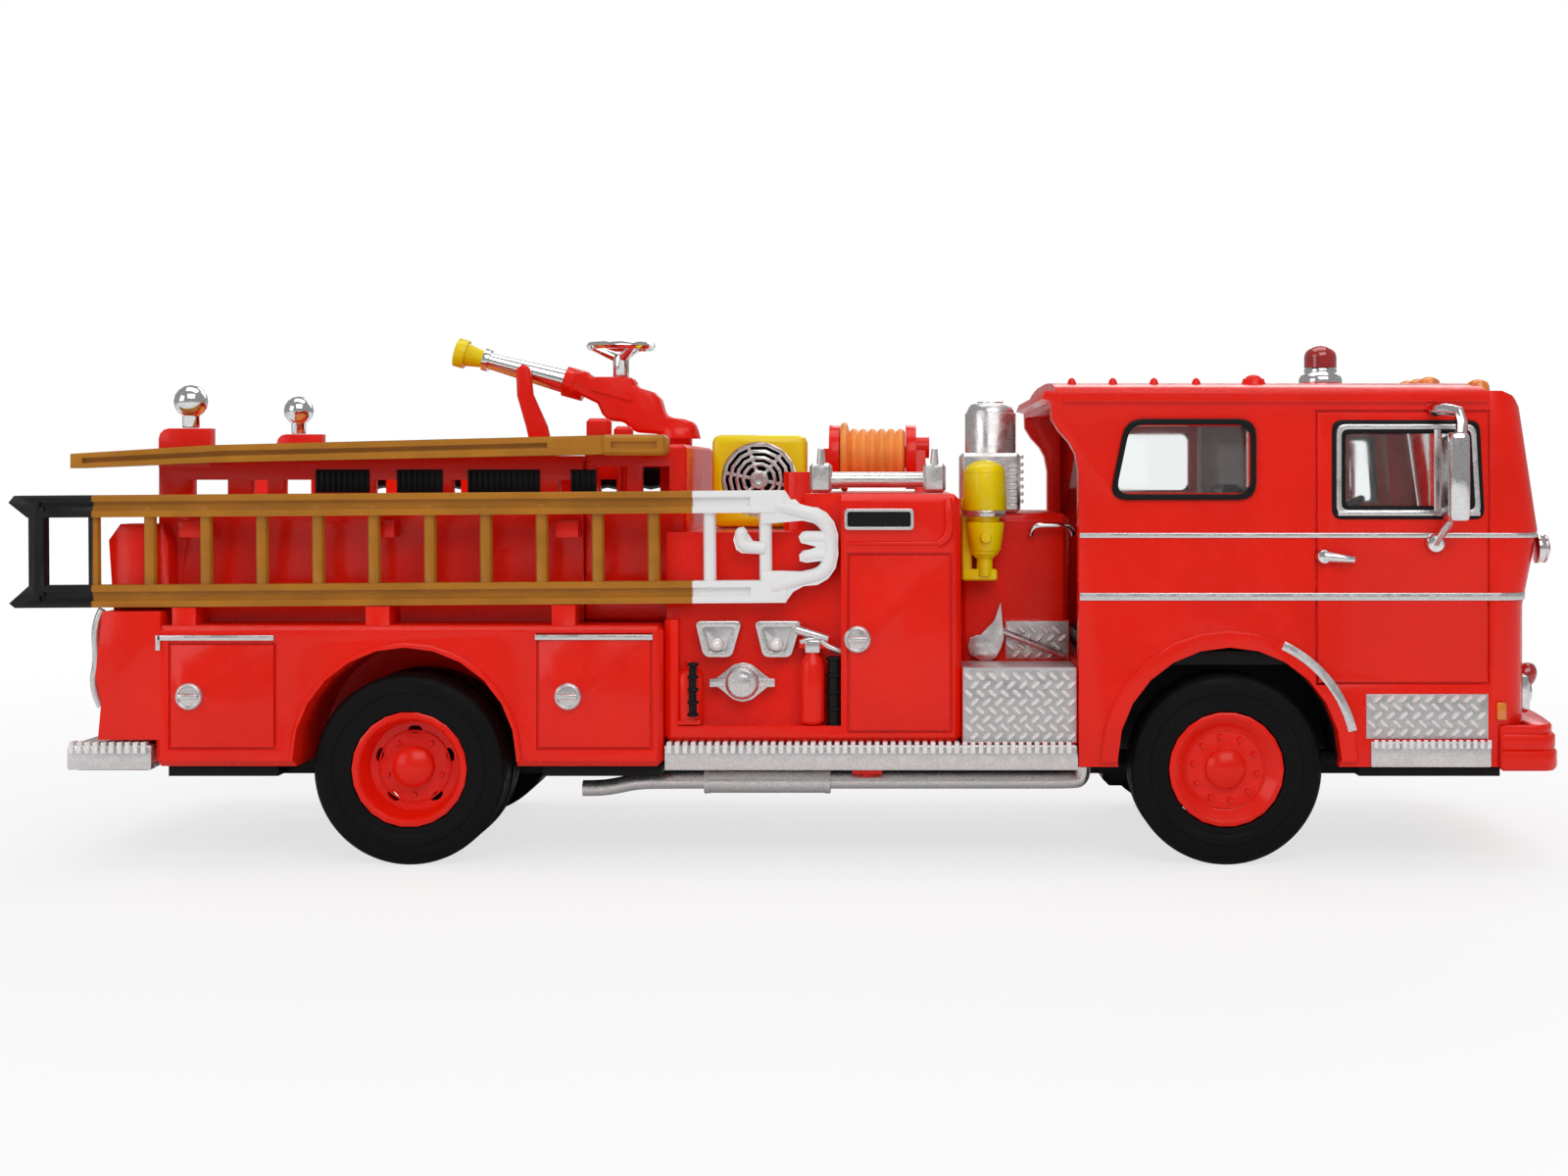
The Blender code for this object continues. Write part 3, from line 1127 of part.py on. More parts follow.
def build_gun_rest(paints):
    """Curved strut beside the barrel, up from the cross bar."""
    foot = RAIL_TOP_Z - 0.1 + SEAT_GAP - GUN_Z
    outline = [
        (-13.3, foot),
        (-11.3, foot),
        (-12.0, 1.9),
        (-13.3, 4.8),
        (-13.6, 7.3),
        (-14.2, 7.7),
        (-14.9, 7.2),
        (-14.8, 4.7),
        (-14.0, 1.9),
    ]
    rest = plate([(GUN_X + x, GUN_Z + z) for x, z in outline], (-2.4, -1.35), name="gun_rest")
    return node("gun_rest", round_edges(rest, 0.2), paints["red"])


def build_smoke_ejector(paints):
    x = PUMP_REAR_X + 7.3
    z = FAN_DECK_Z + 4.5
    y = (FAN_Y - FAN_DEPTH / 2, FAN_Y + FAN_DEPTH / 2)
    box_z = (FAN_DECK_Z + SEAT_GAP, z + FAN_HALF - 0.2)
    body = box((x - FAN_HALF, x + FAN_HALF), y, box_z, "fan_box")
    round_edges(body, 0.7, 2)
    cut(body, rod((x, y[0] - 2, z), (x, y[1] + 2, z), FAN_BORE, 32, name="fan_bore"))
    node("smoke_ejector", body, paints["yellow"])
    # Rings and spokes of the guard, as wire of square section, round a motor with an open hub
    wire = 0.3
    front = y[0] + 0.35
    grille = rod((x, front, z), (x, y[1] - 1.0, z), 0.85, 14, name="fan_motor")
    cut(grille, rod((x, front - 1, z), (x, front + 0.5, z), 0.4, 12, name="hub_hole"))
    for radius in (1.3, 1.9, 2.5, 3.1):
        section = [(radius, 0.0), (radius + wire, 0.0), (radius + wire, -0.5), (radius, -0.5)]
        join(grille, turned(section, (x, front, z), (0, -1, 0), 14, "guard_ring"))
    reach = FAN_BORE - SEAT_GAP
    for i in range(3):
        turn = Matrix.Rotation(math.pi * i / 3 + 0.2, 4, "Y")
        step = 0.01 * i
        for side in (-1, 1):
            span = outward(side, 0.6, reach)
            spoke = box(span, (0.1 + step, 0.4 + step), (-wire / 2, wire / 2), "guard_spoke")
            spoke.data.transform(Matrix.Translation(Vector((x, front, z)) * MM) @ turn)
            join(grille, spoke)
    node("ejector_grille", grille, paints["silver"])


def build_reel(paints):
    x0 = REEL_REAR_X
    x1 = REEL_REAR_X + REEL_LENGTH
    drum = rod((x0 + 0.5, 0, REEL_Z), (x1 - 0.5, 0, REEL_Z), REEL_CORE, 16, name="drum")
    for start, end in ((x0, x0 + FLANGE_THICK), (x1 - FLANGE_THICK, x1)):
        join(drum, rod((start, 0, REEL_Z), (end, 0, REEL_Z), REEL_RADIUS, 28, name="flange"))
    join(drum, rod((x1 - 0.2, 0, REEL_Z + 0.9), (x1 + 1.25, 0, REEL_Z + 0.9), 1.0, 14, name="crank_boss"))
    for start, end in ((x0 - 0.9, x0 + 0.1), (x1 - 0.1, x1 + 0.9)):
        foot = PUMP_TOP_Z + SEAT_GAP
        stand = [(-2.6, foot), (2.6, foot), (0.9, REEL_Z + 0.8), (-0.9, REEL_Z + 0.8)]
        join(drum, plate(stand, (start, end), "YZ", name="stand"))
    node("hose_reel", drum, paints["red"])
    wraps = 7
    span = (x0 + FLANGE_THICK + SEAT_GAP, x1 - FLANGE_THICK - SEAT_GAP)
    pitch = (span[1] - span[0]) / wraps
    core = REEL_CORE + SEAT_GAP
    profile = [(core, span[0])]
    for i in range(wraps):
        low = span[0] + i * pitch
        size = REEL_RADIUS + (-0.3 if i else 0.3)
        profile += [(size - 0.3, low + 0.01), (size, low + 0.3 * pitch), (size, low + 0.7 * pitch)]
    profile += [(REEL_RADIUS - 0.6, span[1]), (core, span[1])]
    node("reel_hose", turned(profile, (0, 0, REEL_Z), (1, 0, 0), 18, "reel_hose"), paints["hose"])


def build_roller_guide(paints):
    """Silver roller between two heads, each with two horns, on the house roof."""
    start = FAN_DECK_FRONT_X + 0.4
    end = start + GUIDE_LENGTH
    low = PUMP_TOP_Z + SEAT_GAP
    roller_z = PUMP_TOP_Z + 1.2
    guide = rod((start + 1.0, GUIDE_Y, roller_z), (end - 1.0, GUIDE_Y, roller_z), 0.68, 14, name="roller")
    for x in (start, end - 1.95):
        head_y = (GUIDE_Y - 0.9, GUIDE_Y + 0.9)
        join(guide, box((x, x + 1.95), head_y, (low, low + 2.6), "head", 0.3))
        for y in head_y:
            middle = (y + GUIDE_Y) / 2
            join(guide, rod((x + 0.98, middle, low + 2.2), (x + 0.98, y, low + 3.85), 0.4, 8, 0.25, name="horn"))
    return node("reel_roller_guide", guide, paints["silver"])


def build_air_intake(paints):
    """Louvred box with a round canister, on the engine cover."""
    x = (PUMP_FRONT_X + 0.25, PUMP_FRONT_X + 5.6)
    y = (-9.6, -4.4)
    top = COVER_TOP_Z + 5.4
    body = box(x, y, (COVER_TOP_Z + SEAT_GAP, top), "intake_box", 0.3)
    middle = ((x[0] + x[1]) / 2 + 0.1, (y[0] + y[1]) / 2)
    profile = [
        (0.0, top + 4.65),
        (1.2, top + 4.65),
        (1.2, top + 3.75),
        (2.3, top + 3.6),
        (2.3, top - 0.2),
        (0.0, top - 0.2),
    ]
    join(body, turned(profile, (*middle, 0), (0, 0, 1), 22, "canister"))
    for i in range(6):
        z = COVER_TOP_Z + 0.75 + 0.62 * i
        cut(body, box((x[1] - 1.15, x[1] - 0.35), (y[0] - 1, y[0] + 0.3), (z, z + 0.32), "louvre"))
    return node("air_intake", body, paints["silver"])


def build_breathing_set(paints):
    """Bottle with its yoke and harness frame on the side of the engine cover."""
    back = -COVER_HALF_WIDTH - SEAT_GAP
    radius = 1.6
    x = PUMP_FRONT_X + 2.3
    z = DECK_Z + 7.2
    profile = [
        (0.0, 10.7),
        (0.9, 10.5),
        (1.4, 9.6),
        (radius, 7.4),
        (radius, 6.2),
        (1.25, 5.0),
        (1.25, 2.4),
        (0.7, 1.9),
        (0.7, 0.4),
        (0.0, 0.4),
    ]
    tank = turned(profile, (x, back - radius, z), (0, 0, 1), 18, "bottle")
    join(tank, box((x - 2.05, x + 1.9), (back - 1.8, back), (z + 6.1, z + 7.4), "yoke", 0.2))
    join(tank, box((x - 2.0, x - 1.1), (back - 1.2, back), (z, z + 6.3), "harness", 0.15))
    join(tank, box((x - 2.0, x + 1.1), (back - 2.0, back), (z, z + 1.0), "foot", 0.15))
    return node("breathing_set", tank, paints["yellow"])


def build_axe(paints):
    """Pick-headed axe clipped low on the side of the engine cover."""
    face = -COVER_HALF_WIDTH - 0.2 - SEAT_GAP
    x = PUMP_FRONT_X
    z = DECK_Z
    outline = [
        (3.75, 5.2), (3.2, 3.6), (1.95, 2.3), (1.75, 2.3), (1.05, 2.1), (0.85, 1.3), (1.05, 0.6),
        (1.95, SEAT_GAP), (2.85, SEAT_GAP), (3.35, 0.3), (3.75, 1.1), (4.05, 2.0), (3.95, 3.2),
    ]
    axe = plate([(x + across, z + up) for across, up in outline], (face - 0.7, face), name="head")
    end = (CAB_REAR_X - 0.5, face - 0.36, z + 0.45)
    join(axe, rod((x + 3.5, face - 0.36, z + 2.8), end, 0.33, 10, name="handle"))
    return node("axe", axe, paints["silver"])


def build_roof_lamps(paints):
    x = CAB_NOSE_X - 15.3
    low = ROOF_CROWN_Z
    profile = [
        (0.0, 1.6),
        (1.5, 1.6),
        (1.5, 1.2),
        (1.8, 1.0),
        (2.0, 0.6),
        (2.0, SEAT_GAP),
        (0.0, SEAT_GAP),
    ]
    node("beacon_base", turned(profile, (x, 0, low), (0, 0, 1), 24, "beacon_base"), paints["chrome"])
    profile = [
        (0.0, 3.85),
        (0.9, 3.8),
        (1.35, 3.4),
        (1.5, 2.7),
        (1.5, 1.6 + SEAT_GAP),
        (0.0, 1.6 + SEAT_GAP),
    ]
    node("beacon_dome", turned(profile, (x, 0, low), (0, 0, 1), 24, "beacon_dome"), paints["lens_red"])


def build_side_lamps(side, paints):
    """Warning light, headlight, mirror and rear lamp of one side."""
    key = side_key(side)
    nose = CAB_NOSE_X
    y = side * (HALF_WIDTH - 3.0)
    z = SILL_Z + 18.5
    warning = rod((nose + SEAT_GAP, y, z), (nose + 0.8, y, z), 1.35, 20, 1.2, name="warning_light")
    node(f"warning_light_{key}", warning, paints["chrome"])
    lamp_x = (nose - 1.3 + SEAT_GAP, nose - 0.2)
    housing = box(lamp_x, outward(side, HALF_WIDTH - 8.6, HALF_WIDTH - 3.4), (SILL_Z + 4.2, SILL_Z + 7.7), "housing", 0.3)
    for across in (7.2, 4.8):
        lens_y = side * (HALF_WIDTH - across)
        lens_z = SILL_Z + 5.95
        join(housing, rod((lamp_x[1] - 0.2, lens_y, lens_z), (lamp_x[1] + 0.3, lens_y, lens_z), 1.05, 14, 0.85))
    node(f"headlight_{key}", housing, paints["chrome"])

    head_x = (nose - 9.3, nose - 7.5)
    head_z = (ROOF_EDGE_Z - 11.1, ROOF_EDGE_Z - 3.6)
    head_y = outward(side, HALF_WIDTH + 1.6, HALF_WIDTH + 4.6)
    mirror = box(head_x, head_y, head_z, "mirror")
    round_edges(mirror, 0.5, 2)
    wall_y = side * (HALF_WIDTH + SEAT_GAP)
    arm_y = side * (HALF_WIDTH + 3.0)
    arm_x = head_x[1] - 0.5
    arm = [
        (arm_x - 1.6, wall_y, ROOF_EDGE_Z - 1.7),
        (arm_x - 1.6, side * (HALF_WIDTH + 0.8), ROOF_EDGE_Z - 1.7),
        (arm_x - 0.9, side * (HALF_WIDTH + 1.6), ROOF_EDGE_Z - 1.6),
        (arm_x, side * (HALF_WIDTH + 2.6), ROOF_EDGE_Z - 1.9),
        (arm_x + 0.1, arm_y, ROOF_EDGE_Z - 2.8),
        (arm_x + 0.1, arm_y, head_z[0] + 1.0),
    ]
    join(mirror, tube(arm, 0.5, name="mirror_arm"))
    foot_x = arm_x - 1.4
    foot_y = side * (HALF_WIDTH + 0.6)
    foot_z = head_z[0] - 1.9
    join(mirror, rod((foot_x, wall_y, foot_z), (foot_x, foot_y, foot_z), 0.9, 14, 0.7, name="foot"))
    elbow = (arm_x - 0.4, side * (HALF_WIDTH + 2.4), head_z[0] + 0.6)
    join(mirror, rod((foot_x, side * (HALF_WIDTH + 0.4), foot_z), elbow, 0.35, 8, name="lower_arm"))
    node(f"mirror_{key}", mirror, paints["chrome"])

    lamp_x = BED_REAR_X + (2.6 if side < 0 else 4.6)
    lamp_y = side * (BED_HALF_WIDTH - 0.6)
    low = RAIL_TOP_Z + 2.4 + SEAT_GAP
    lamp = ball((lamp_x, lamp_y, low + 2.3), 1.45, 14, 8, name="rear_lamp")
    join(lamp, rod((lamp_x, lamp_y, low), (lamp_x, lamp_y, low + 1.6), 0.75, 12))
    node(f"rear_lamp_{key}", lamp, paints["chrome"])


def build_suction_hoses(paints):
    """Two hard suction hoses along the left bed wall, ribbed, with plain ends."""
    y = BED_HALF_WIDTH + 1.6 + 0.1
    start = BED_REAR_X + 5.6
    end = PUMP_REAR_X - 0.6
    ribs = 22
    pitch = (end - start) / ribs
    outline = [(0.0, end)]
    for i in range(ribs):
        high = end - i * pitch
        outline += [(1.4, high), (1.6, high - pitch / 2)]
    outline += [(1.4, start), (0.0, start)]
    for name, rise in (("suction_hose_upper", 12.91), ("suction_hose_lower", 8.96)):
        hose = turned(outline, (0, y, LOCKER_TOP_Z + rise), (1, 0, 0), 8, name)
        node(name, hose, paints["black"])


def build_exhaust(paints):
    y = 4.8 - HALF_WIDTH
    z = SILL_Z - 2.1
    tail = PUMP_REAR_X - 7.7
    front = CAB_REAR_X + 0.9
    path = [
        (tail, y, z - 0.7),
        (tail + 2.4, y, z + 0.1),
        (tail + 5.0, y, z),
        (front - 1.0, y, z),
        (front - 0.2, y, z + 0.5),
        (front, y, z + 1.2),
    ]
    pipe = tube(path, 0.6, name="exhaust")
    join(pipe, rod((PUMP_REAR_X + 3.0, y, z), (PUMP_REAR_X + 13.9, y, z), 0.87, 16, name="muffler"))
    return node("exhaust", pipe, paints["silver"])


def main():
    global PARTS, TOOLS
    clear_scene()
    PARTS = new_collection("fire_engine_model")
    TOOLS = new_collection("shapes_and_cutters")
    paints = {
        "red": paint("red_enamel", (0.74, 0.014, 0.010), 0.25),
        "rubber": paint("black_rubber", (0.02, 0.02, 0.02), 0.6),
        "steel": paint("steel_wire", (0.55, 0.55, 0.55), 0.3, 1.0),
        "black": paint("black_plastic", (0.015, 0.015, 0.015), 0.45),
        "silver": paint("silver_paint", (0.55, 0.53, 0.53), 0.4, 0.6),
        "chrome": paint("chrome_plating", (0.85, 0.85, 0.85), 0.08, 1.0),
        "glass": paint("clear_plastic", (0.8, 0.85, 0.85), 0.05),
        "tan": paint("ladder_brown", (0.40, 0.17, 0.018), 0.45),
        "yellow": paint("yellow_paint", (0.87, 0.75, 0.0), 0.35),
        "hose": paint("hose_tan", (0.75, 0.27, 0.06), 0.6),
        "lens_red": paint("ruby_lens", (0.5, 0.01, 0.01), 0.1),
    }
    build_wheels(paints)
    build_hose_body(paints)
    build_gun_platform(paints)
    build_hose_load(paints)
    build_pump_house(paints)
    build_pump_details(paints)
    build_crew_step(paints)
    build_cab_shell(paints)
    build_glass(paints)
    build_interior(paints)
    build_steering_wheel(paints)
    build_base_plate(paints)
    build_boards(paints)
    build_bumper(paints)
    build_side_ladder(paints)
    build_attic_ladder(paints)
    build_gun(paints)
    build_gun_rest(paints)
    build_smoke_ejector(paints)
    build_reel(paints)
    build_roller_guide(paints)
    build_air_intake(paints)
    build_breathing_set(paints)
    build_axe(paints)
    build_roof_lamps(paints)
    for side in (-1, 1):
        build_side_lamps(side, paints)
    build_suction_hoses(paints)
    build_exhaust(paints)


main()
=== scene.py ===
"""Finish and small fittings of a die-cast scale model of a fire engine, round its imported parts."""

import json
import math

import bmesh
import bpy
from bpy.props import FloatProperty, FloatVectorProperty, PointerProperty
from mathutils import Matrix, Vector

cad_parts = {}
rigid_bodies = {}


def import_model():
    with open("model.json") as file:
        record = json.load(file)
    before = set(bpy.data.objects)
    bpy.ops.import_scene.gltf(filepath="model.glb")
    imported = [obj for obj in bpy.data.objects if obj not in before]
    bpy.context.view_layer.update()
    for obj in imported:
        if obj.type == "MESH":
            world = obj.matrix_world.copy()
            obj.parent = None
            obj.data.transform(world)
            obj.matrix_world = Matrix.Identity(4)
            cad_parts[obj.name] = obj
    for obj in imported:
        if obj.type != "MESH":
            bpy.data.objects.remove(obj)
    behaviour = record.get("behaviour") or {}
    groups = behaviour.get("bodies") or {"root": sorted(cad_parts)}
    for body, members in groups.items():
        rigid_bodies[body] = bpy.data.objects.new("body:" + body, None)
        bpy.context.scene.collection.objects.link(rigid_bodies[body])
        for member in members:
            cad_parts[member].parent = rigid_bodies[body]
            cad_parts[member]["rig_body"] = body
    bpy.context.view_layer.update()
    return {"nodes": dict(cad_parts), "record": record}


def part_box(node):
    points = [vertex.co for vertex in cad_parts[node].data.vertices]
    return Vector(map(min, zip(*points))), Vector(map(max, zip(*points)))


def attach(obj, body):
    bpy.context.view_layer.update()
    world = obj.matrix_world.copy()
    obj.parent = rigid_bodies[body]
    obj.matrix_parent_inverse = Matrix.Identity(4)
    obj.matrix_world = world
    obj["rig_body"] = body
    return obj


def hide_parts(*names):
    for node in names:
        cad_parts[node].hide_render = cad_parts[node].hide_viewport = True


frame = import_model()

bl_info = {
    "name": "Fire Engine Model Finish",
    "version": (1, 0, 0),
    "blender": (4, 5, 0),
    "location": "View3D > Sidebar > Fire Engine",
    "description": "Paint, plating, tread, trim and small fittings of a die-cast fire engine model",
    "category": "Object",
}

MM = 0.001
NODE_BODY = {n: o["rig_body"] for n, o in frame["nodes"].items()}
NODE_SLOT = {row["node"]: row["material_slot"] for row in frame["record"]["subparts"]}
# The steps are cast in red and painted silver.
NODE_SLOT.update(dict.fromkeys(("rear_step", "running_board_l", "running_board_r"), "silver_paint"))


def colour(name, description, default):
    """A colour on the panel."""
    return FloatVectorProperty(
        name=name, description=description, subtype="COLOR", size=3, min=0, max=1, default=default
    )


def length(name, description, default):
    """A length in metres on the panel."""
    return FloatProperty(name=name, description=description, unit="LENGTH", default=default)


class EngineColours(bpy.types.PropertyGroup):
    """Paint and plating of the model."""

    enamel: colour("Enamel", "Gloss enamel of the castings", (0.84, 0.012, 0.003))
    silver: colour("Silver paint", "Silver of plates and trim", (0.74, 0.72, 0.72))
    chrome: colour("Chrome", "Plating of lamps and barrel", (0.82, 0.82, 0.83))
    yellow: colour("Yellow", "Fan, air set and nozzle", (0.90, 0.70, 0.0))
    brown: colour("Ladder brown", "Ladders", (0.42, 0.165, 0.012))
    hose: colour("Hose", "Reel hose and folded hose", (0.88, 0.30, 0.06))
    rubber: colour("Rubber", "Tyres and rubber seals", (0.005, 0.005, 0.0055))
    plastic: colour("Black plastic", "Interior and black fittings", (0.008, 0.008, 0.009))
    white: colour("White", "Front end of the ladder", (0.85, 0.85, 0.85))
    ruby: colour("Ruby lens", "Warning lenses", (0.55, 0.008, 0.015))
    amber: colour("Amber lens", "Marker lenses", (0.95, 0.27, 0.01))


class EngineSizes(bpy.types.PropertyGroup):
    """Sizes that the finish adds to the solids."""

    edge: length("Edge radius", "Softened edge of a casting", 0.00009)
    belt: length("Belt strip thickness", "How far the cab's bright strips stand out", 0.00012)
    tread: length("Tread height", "How far the lozenges of tread plate stand out", 0.0003)


def colours():
    """The panel's colours."""
    return bpy.context.scene.engine_colours


def sizes():
    """The panel's sizes."""
    return bpy.context.scene.engine_sizes


# Materials


def new_material(name):
    """A material, its node tree and its shader."""
    made = bpy.data.materials.new(name)
    made.use_nodes = True
    return made, made.node_tree, made.node_tree.nodes["Principled BSDF"]


def put(node, inputs):
    """Gives a node's inputs their values, colours or links."""
    for key, value in inputs.items():
        socket = node.inputs[key]
        if isinstance(value, bpy.types.NodeSocket):
            node.id_data.links.new(value, socket)
        else:
            socket.default_value = (*value, 1.0) if socket.type == "RGBA" else value


def add(tree, kind, inputs=None, **settings):
    """A new shader node with its settings and inputs."""
    node = tree.nodes.new("ShaderNode" + kind)
    for key, value in settings.items():
        setattr(node, key, value)
    put(node, inputs or {})
    return node


def noise(tree, scale, detail=3.0, stretch=(1, 1, 1)):
    """Noise in the object's own millimetres."""
    place = add(tree, "TexCoord").outputs["Object"]
    mapping = add(tree, "Mapping", {"Vector": place, "Scale": [s / MM for s in stretch]})
    inputs = {"Vector": mapping.outputs["Vector"], "Scale": scale, "Detail": detail}
    return add(tree, "TexNoise", inputs).outputs["Fac"]


def ramp(tree, source, low, high, start=0.35, end=0.65):
    """A smooth change from low to high as source goes from start to end."""
    inputs = {"Value": source, "From Min": start, "From Max": end, "To Min": low, "To Max": high}
    return add(tree, "MapRange", inputs, interpolation_type="SMOOTHSTEP").outputs["Result"]


def mix(tree, factor, a, b):
    """Colour a where factor is 0 and b where it is 1; each is a colour or a socket."""
    return add(tree, "Mix", {0: factor, 6: a, 7: b}, data_type="RGBA").outputs[2]


def bump(tree, shader, height, depth_mm):
    """Relief of a depth in millimetres that follows a height."""
    relief = add(tree, "Bump", {"Distance": depth_mm * MM, "Height": height})
    put(shader, {"Normal": relief.outputs["Normal"]})


def shaded(tint, factor):
    """A colour made darker or lighter."""
    return tuple(c * factor for c in tint)


def clouded(tree, cloud, dark, light):
    """A colour that goes from dark to light with a noise."""
    return mix(tree, ramp(tree, cloud, 0.0, 1.0), dark, light)


def uneven(tree, scale, low, high):
    """A value that wanders between two others."""
    return ramp(tree, noise(tree, scale), low, high)


def gloss_paint(name, tint, rough=0.24, coat=0.12):
    """Sprayed paint: faint cloudiness, an orange-peel skin and a clear gloss."""
    made, tree, shader = new_material(name)
    put(shader, {
        "Base Color": clouded(tree, noise(tree, 0.12, 2.0), shaded(tint, 0.93), tint),
        "Roughness": uneven(tree, 0.6, rough * 0.85, rough * 1.25),
        "Specular IOR Level": 0.22,
        "Coat Weight": coat,
        "Coat Roughness": 0.06,
    })
    bump(tree, shader, noise(tree, 1.6, 1.0), 0.006)
    return made


def metal_paint(name, tint, rough=0.33, metallic=0.85):
    """Metallic paint or plating: fine flake and small changes of gloss."""
    made, tree, shader = new_material(name)
    flake = noise(tree, 6.0, 2.0)
    put(shader, {
        "Base Color": clouded(tree, flake, shaded(tint, 0.86), tint),
        "Roughness": uneven(tree, 0.9, rough * 0.7, rough * 1.3),
        "Metallic": metallic,
    })
    bump(tree, shader, flake, 0.004)
    return made


def moulded(name, tint, rough=0.4, grain=0.012, grain_scale=2.2, gloss=0.3):
    """Moulded plastic or rubber with a fine satin grain."""
    made, tree, shader = new_material(name)
    put(shader, {
        "Base Color": clouded(tree, noise(tree, 0.3), shaded(tint, 0.92), shaded(tint, 1.06)),
        "Roughness": uneven(tree, 0.8, rough * 0.85, rough * 1.2),
        "Specular IOR Level": gloss,
    })
    bump(tree, shader, noise(tree, grain_scale), grain)
    return made


def lens(name, tint, through=0.35):
    """Tinted clear plastic over a bright reflector."""
    made, tree, shader = new_material(name)
    put(shader, {
        "Base Color": clouded(tree, noise(tree, 0.7, 2.0), shaded(tint, 0.75), tint),
        "Roughness": 0.12,
        "Transmission Weight": through,
        "Coat Weight": 1.0,
    })
    bump(tree, shader, noise(tree, 1.1, 1.0), 0.01)
    return made


def clear_plastic(name):
    """Clear moulding of the windows, with faint flow lines."""
    made, tree, shader = new_material(name)
    put(shader, {
        "Base Color": (0.95, 0.97, 0.97),
        "Roughness": uneven(tree, 0.25, 0.02, 0.07),
        "Transmission Weight": 1.0,
        "IOR": 1.45,
    })
    bump(tree, shader, noise(tree, 0.12, 1.0), 0.01)
    return made


# Where the ladder's black dip ends and its white dip starts, and half the width of either edge
LADDER_BLACK_END = -59.9
LADDER_WHITE_START = -8.6
DIP_EDGE = 0.1


def past_x(tree, x_mm):
    """0 behind a place along the object and 1 ahead of it, with a narrow soft edge."""
    place = add(tree, "TexCoord").outputs["Object"]
    along = add(tree, "SeparateXYZ", {0: place}).outputs["X"]
    return ramp(tree, along, 0.0, 1.0, (x_mm - DIP_EDGE) * MM, (x_mm + DIP_EDGE) * MM)


def ladder_paint(name):
    """Brown moulding whose rear end is dipped black and front end white."""
    tint = colours()
    made, tree, shader = new_material(name)
    along = noise(tree, 0.4, 3.0, (0.5, 1.0, 1.0))
    brown = clouded(tree, along, shaded(tint.brown, 0.88), shaded(tint.brown, 1.06))
    dipped = mix(tree, past_x(tree, LADDER_BLACK_END), tint.plastic, brown)
    put(shader, {
        "Base Color": mix(tree, past_x(tree, LADDER_WHITE_START), dipped, tint.white),
        "Roughness": uneven(tree, 0.8, 0.28, 0.42),
        "Specular IOR Level": 0.25,
    })
    bump(tree, shader, noise(tree, 1.8, 2.0), 0.012)
    return made


def make_materials():
    """One material for each slot of the record, and a few more finishes."""
    tint = colours()
    return {
        "red_enamel": gloss_paint("red_enamel_gloss", tint.enamel),
        "black_rubber": moulded("tyre_rubber", tint.rubber, 0.5, 0.02, 3.0, 0.1),
        "steel_wire": metal_paint("bright_steel", (0.6, 0.6, 0.61), 0.25, 1.0),
        "black_plastic": moulded("black_satin_plastic", tint.plastic, 0.42, 0.012, 2.2, 0.15),
        "silver_paint": metal_paint("silver_hand_paint", tint.silver, 0.3, 0.9),
        "chrome_plating": metal_paint("vacuum_chrome", tint.chrome, 0.09, 1.0),
        "clear_plastic": clear_plastic("clear_window_plastic"),
        "ladder_brown": ladder_paint("dipped_ladder_plastic"),
        "plain_brown": moulded("brown_ladder_plastic", tint.brown, 0.35, 0.012, 1.8, 0.25),
        # Darker copy of the silver paint for the ground of the tread plates: painted shade between the
        # lozenges.
        "shade_painted_silver": metal_paint("silver_ground_painted_shade", shaded(tint.silver, 0.78), 0.4, 0.7),
        # Lighter, less metallic copy of the silver paint for lozenges, cleats and knobs: a painted highlight
        # on the raised parts.
        "highlight_painted_silver": metal_paint("silver_crests_painted_highlight", shaded(tint.silver, 1.25), 0.3, 0.25),
        "grey_trim": moulded("grey_inner_trim", (0.78, 0.77, 0.75), 0.5),
        "yellow_paint": gloss_paint("yellow_gloss", tint.yellow, 0.3, 0.25),
        "hose_tan": moulded("hose_rubber_tan", tint.hose, 0.45),
        "ruby_lens": lens("ruby_lens_plastic", tint.ruby),
        "amber_lens": lens("amber_lens_plastic", tint.amber, 0.05),
        "white_paint": gloss_paint("white_gloss", tint.white, 0.3, 0.2),
    }


MATERIALS = {}


def material(name):
    """A finish by name; the first call makes them all."""
    if name not in MATERIALS:
        MATERIALS.update(make_materials())
    return MATERIALS[name]


# Modelling helpers

SMOOTH_ANGLE = math.radians(40.0)
MERGE_DISTANCE = 0.0000015
FLAT_ANGLE = math.radians(1.0)


def deselect():
    """Leaves edit mode and selects nothing."""
    if bpy.context.object and bpy.context.object.mode != "OBJECT":
        bpy.ops.object.mode_set(mode="OBJECT")
    bpy.ops.object.select_all(action="DESELECT")


def pick(obj):
    """Selects one object alone."""
    deselect()
    obj.select_set(True)
    bpy.context.view_layer.objects.active = obj
    return obj


def linked(name, data):
    """A new object in the scene."""
    obj = bpy.data.objects.new(name, data)
    bpy.context.scene.collection.objects.link(obj)
    return obj


def apply_place(obj):
    """Writes an object's place, turn and size into its mesh."""
    pick(obj)
    bpy.ops.object.transform_apply(location=True, rotation=True, scale=True)
    return obj


def soften(obj, width, angle=35.0):
    """Bevels the sharp edges and shades the rest smooth."""
    modifier = obj.modifiers.new("Soft edges", "BEVEL")
    modifier.width = width
    modifier.segments = 2
    modifier.limit_method = "ANGLE"
    modifier.angle_limit = math.radians(angle)
    modifier.use_clamp_overlap = True
    pick(obj)
    bpy.ops.object.modifier_apply(modifier=modifier.name)
    bpy.ops.object.shade_smooth_by_angle(angle=SMOOTH_ANGLE)
    return obj


def finished(obj, finish, body, replaces):
    """Gives a piece its material, its body and the nodes that it stands for."""
    apply_place(obj)
    obj.data.materials.clear()
    obj.data.materials.append(material(finish))
    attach(obj, body)
    if replaces:
        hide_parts(*replaces)
    return obj


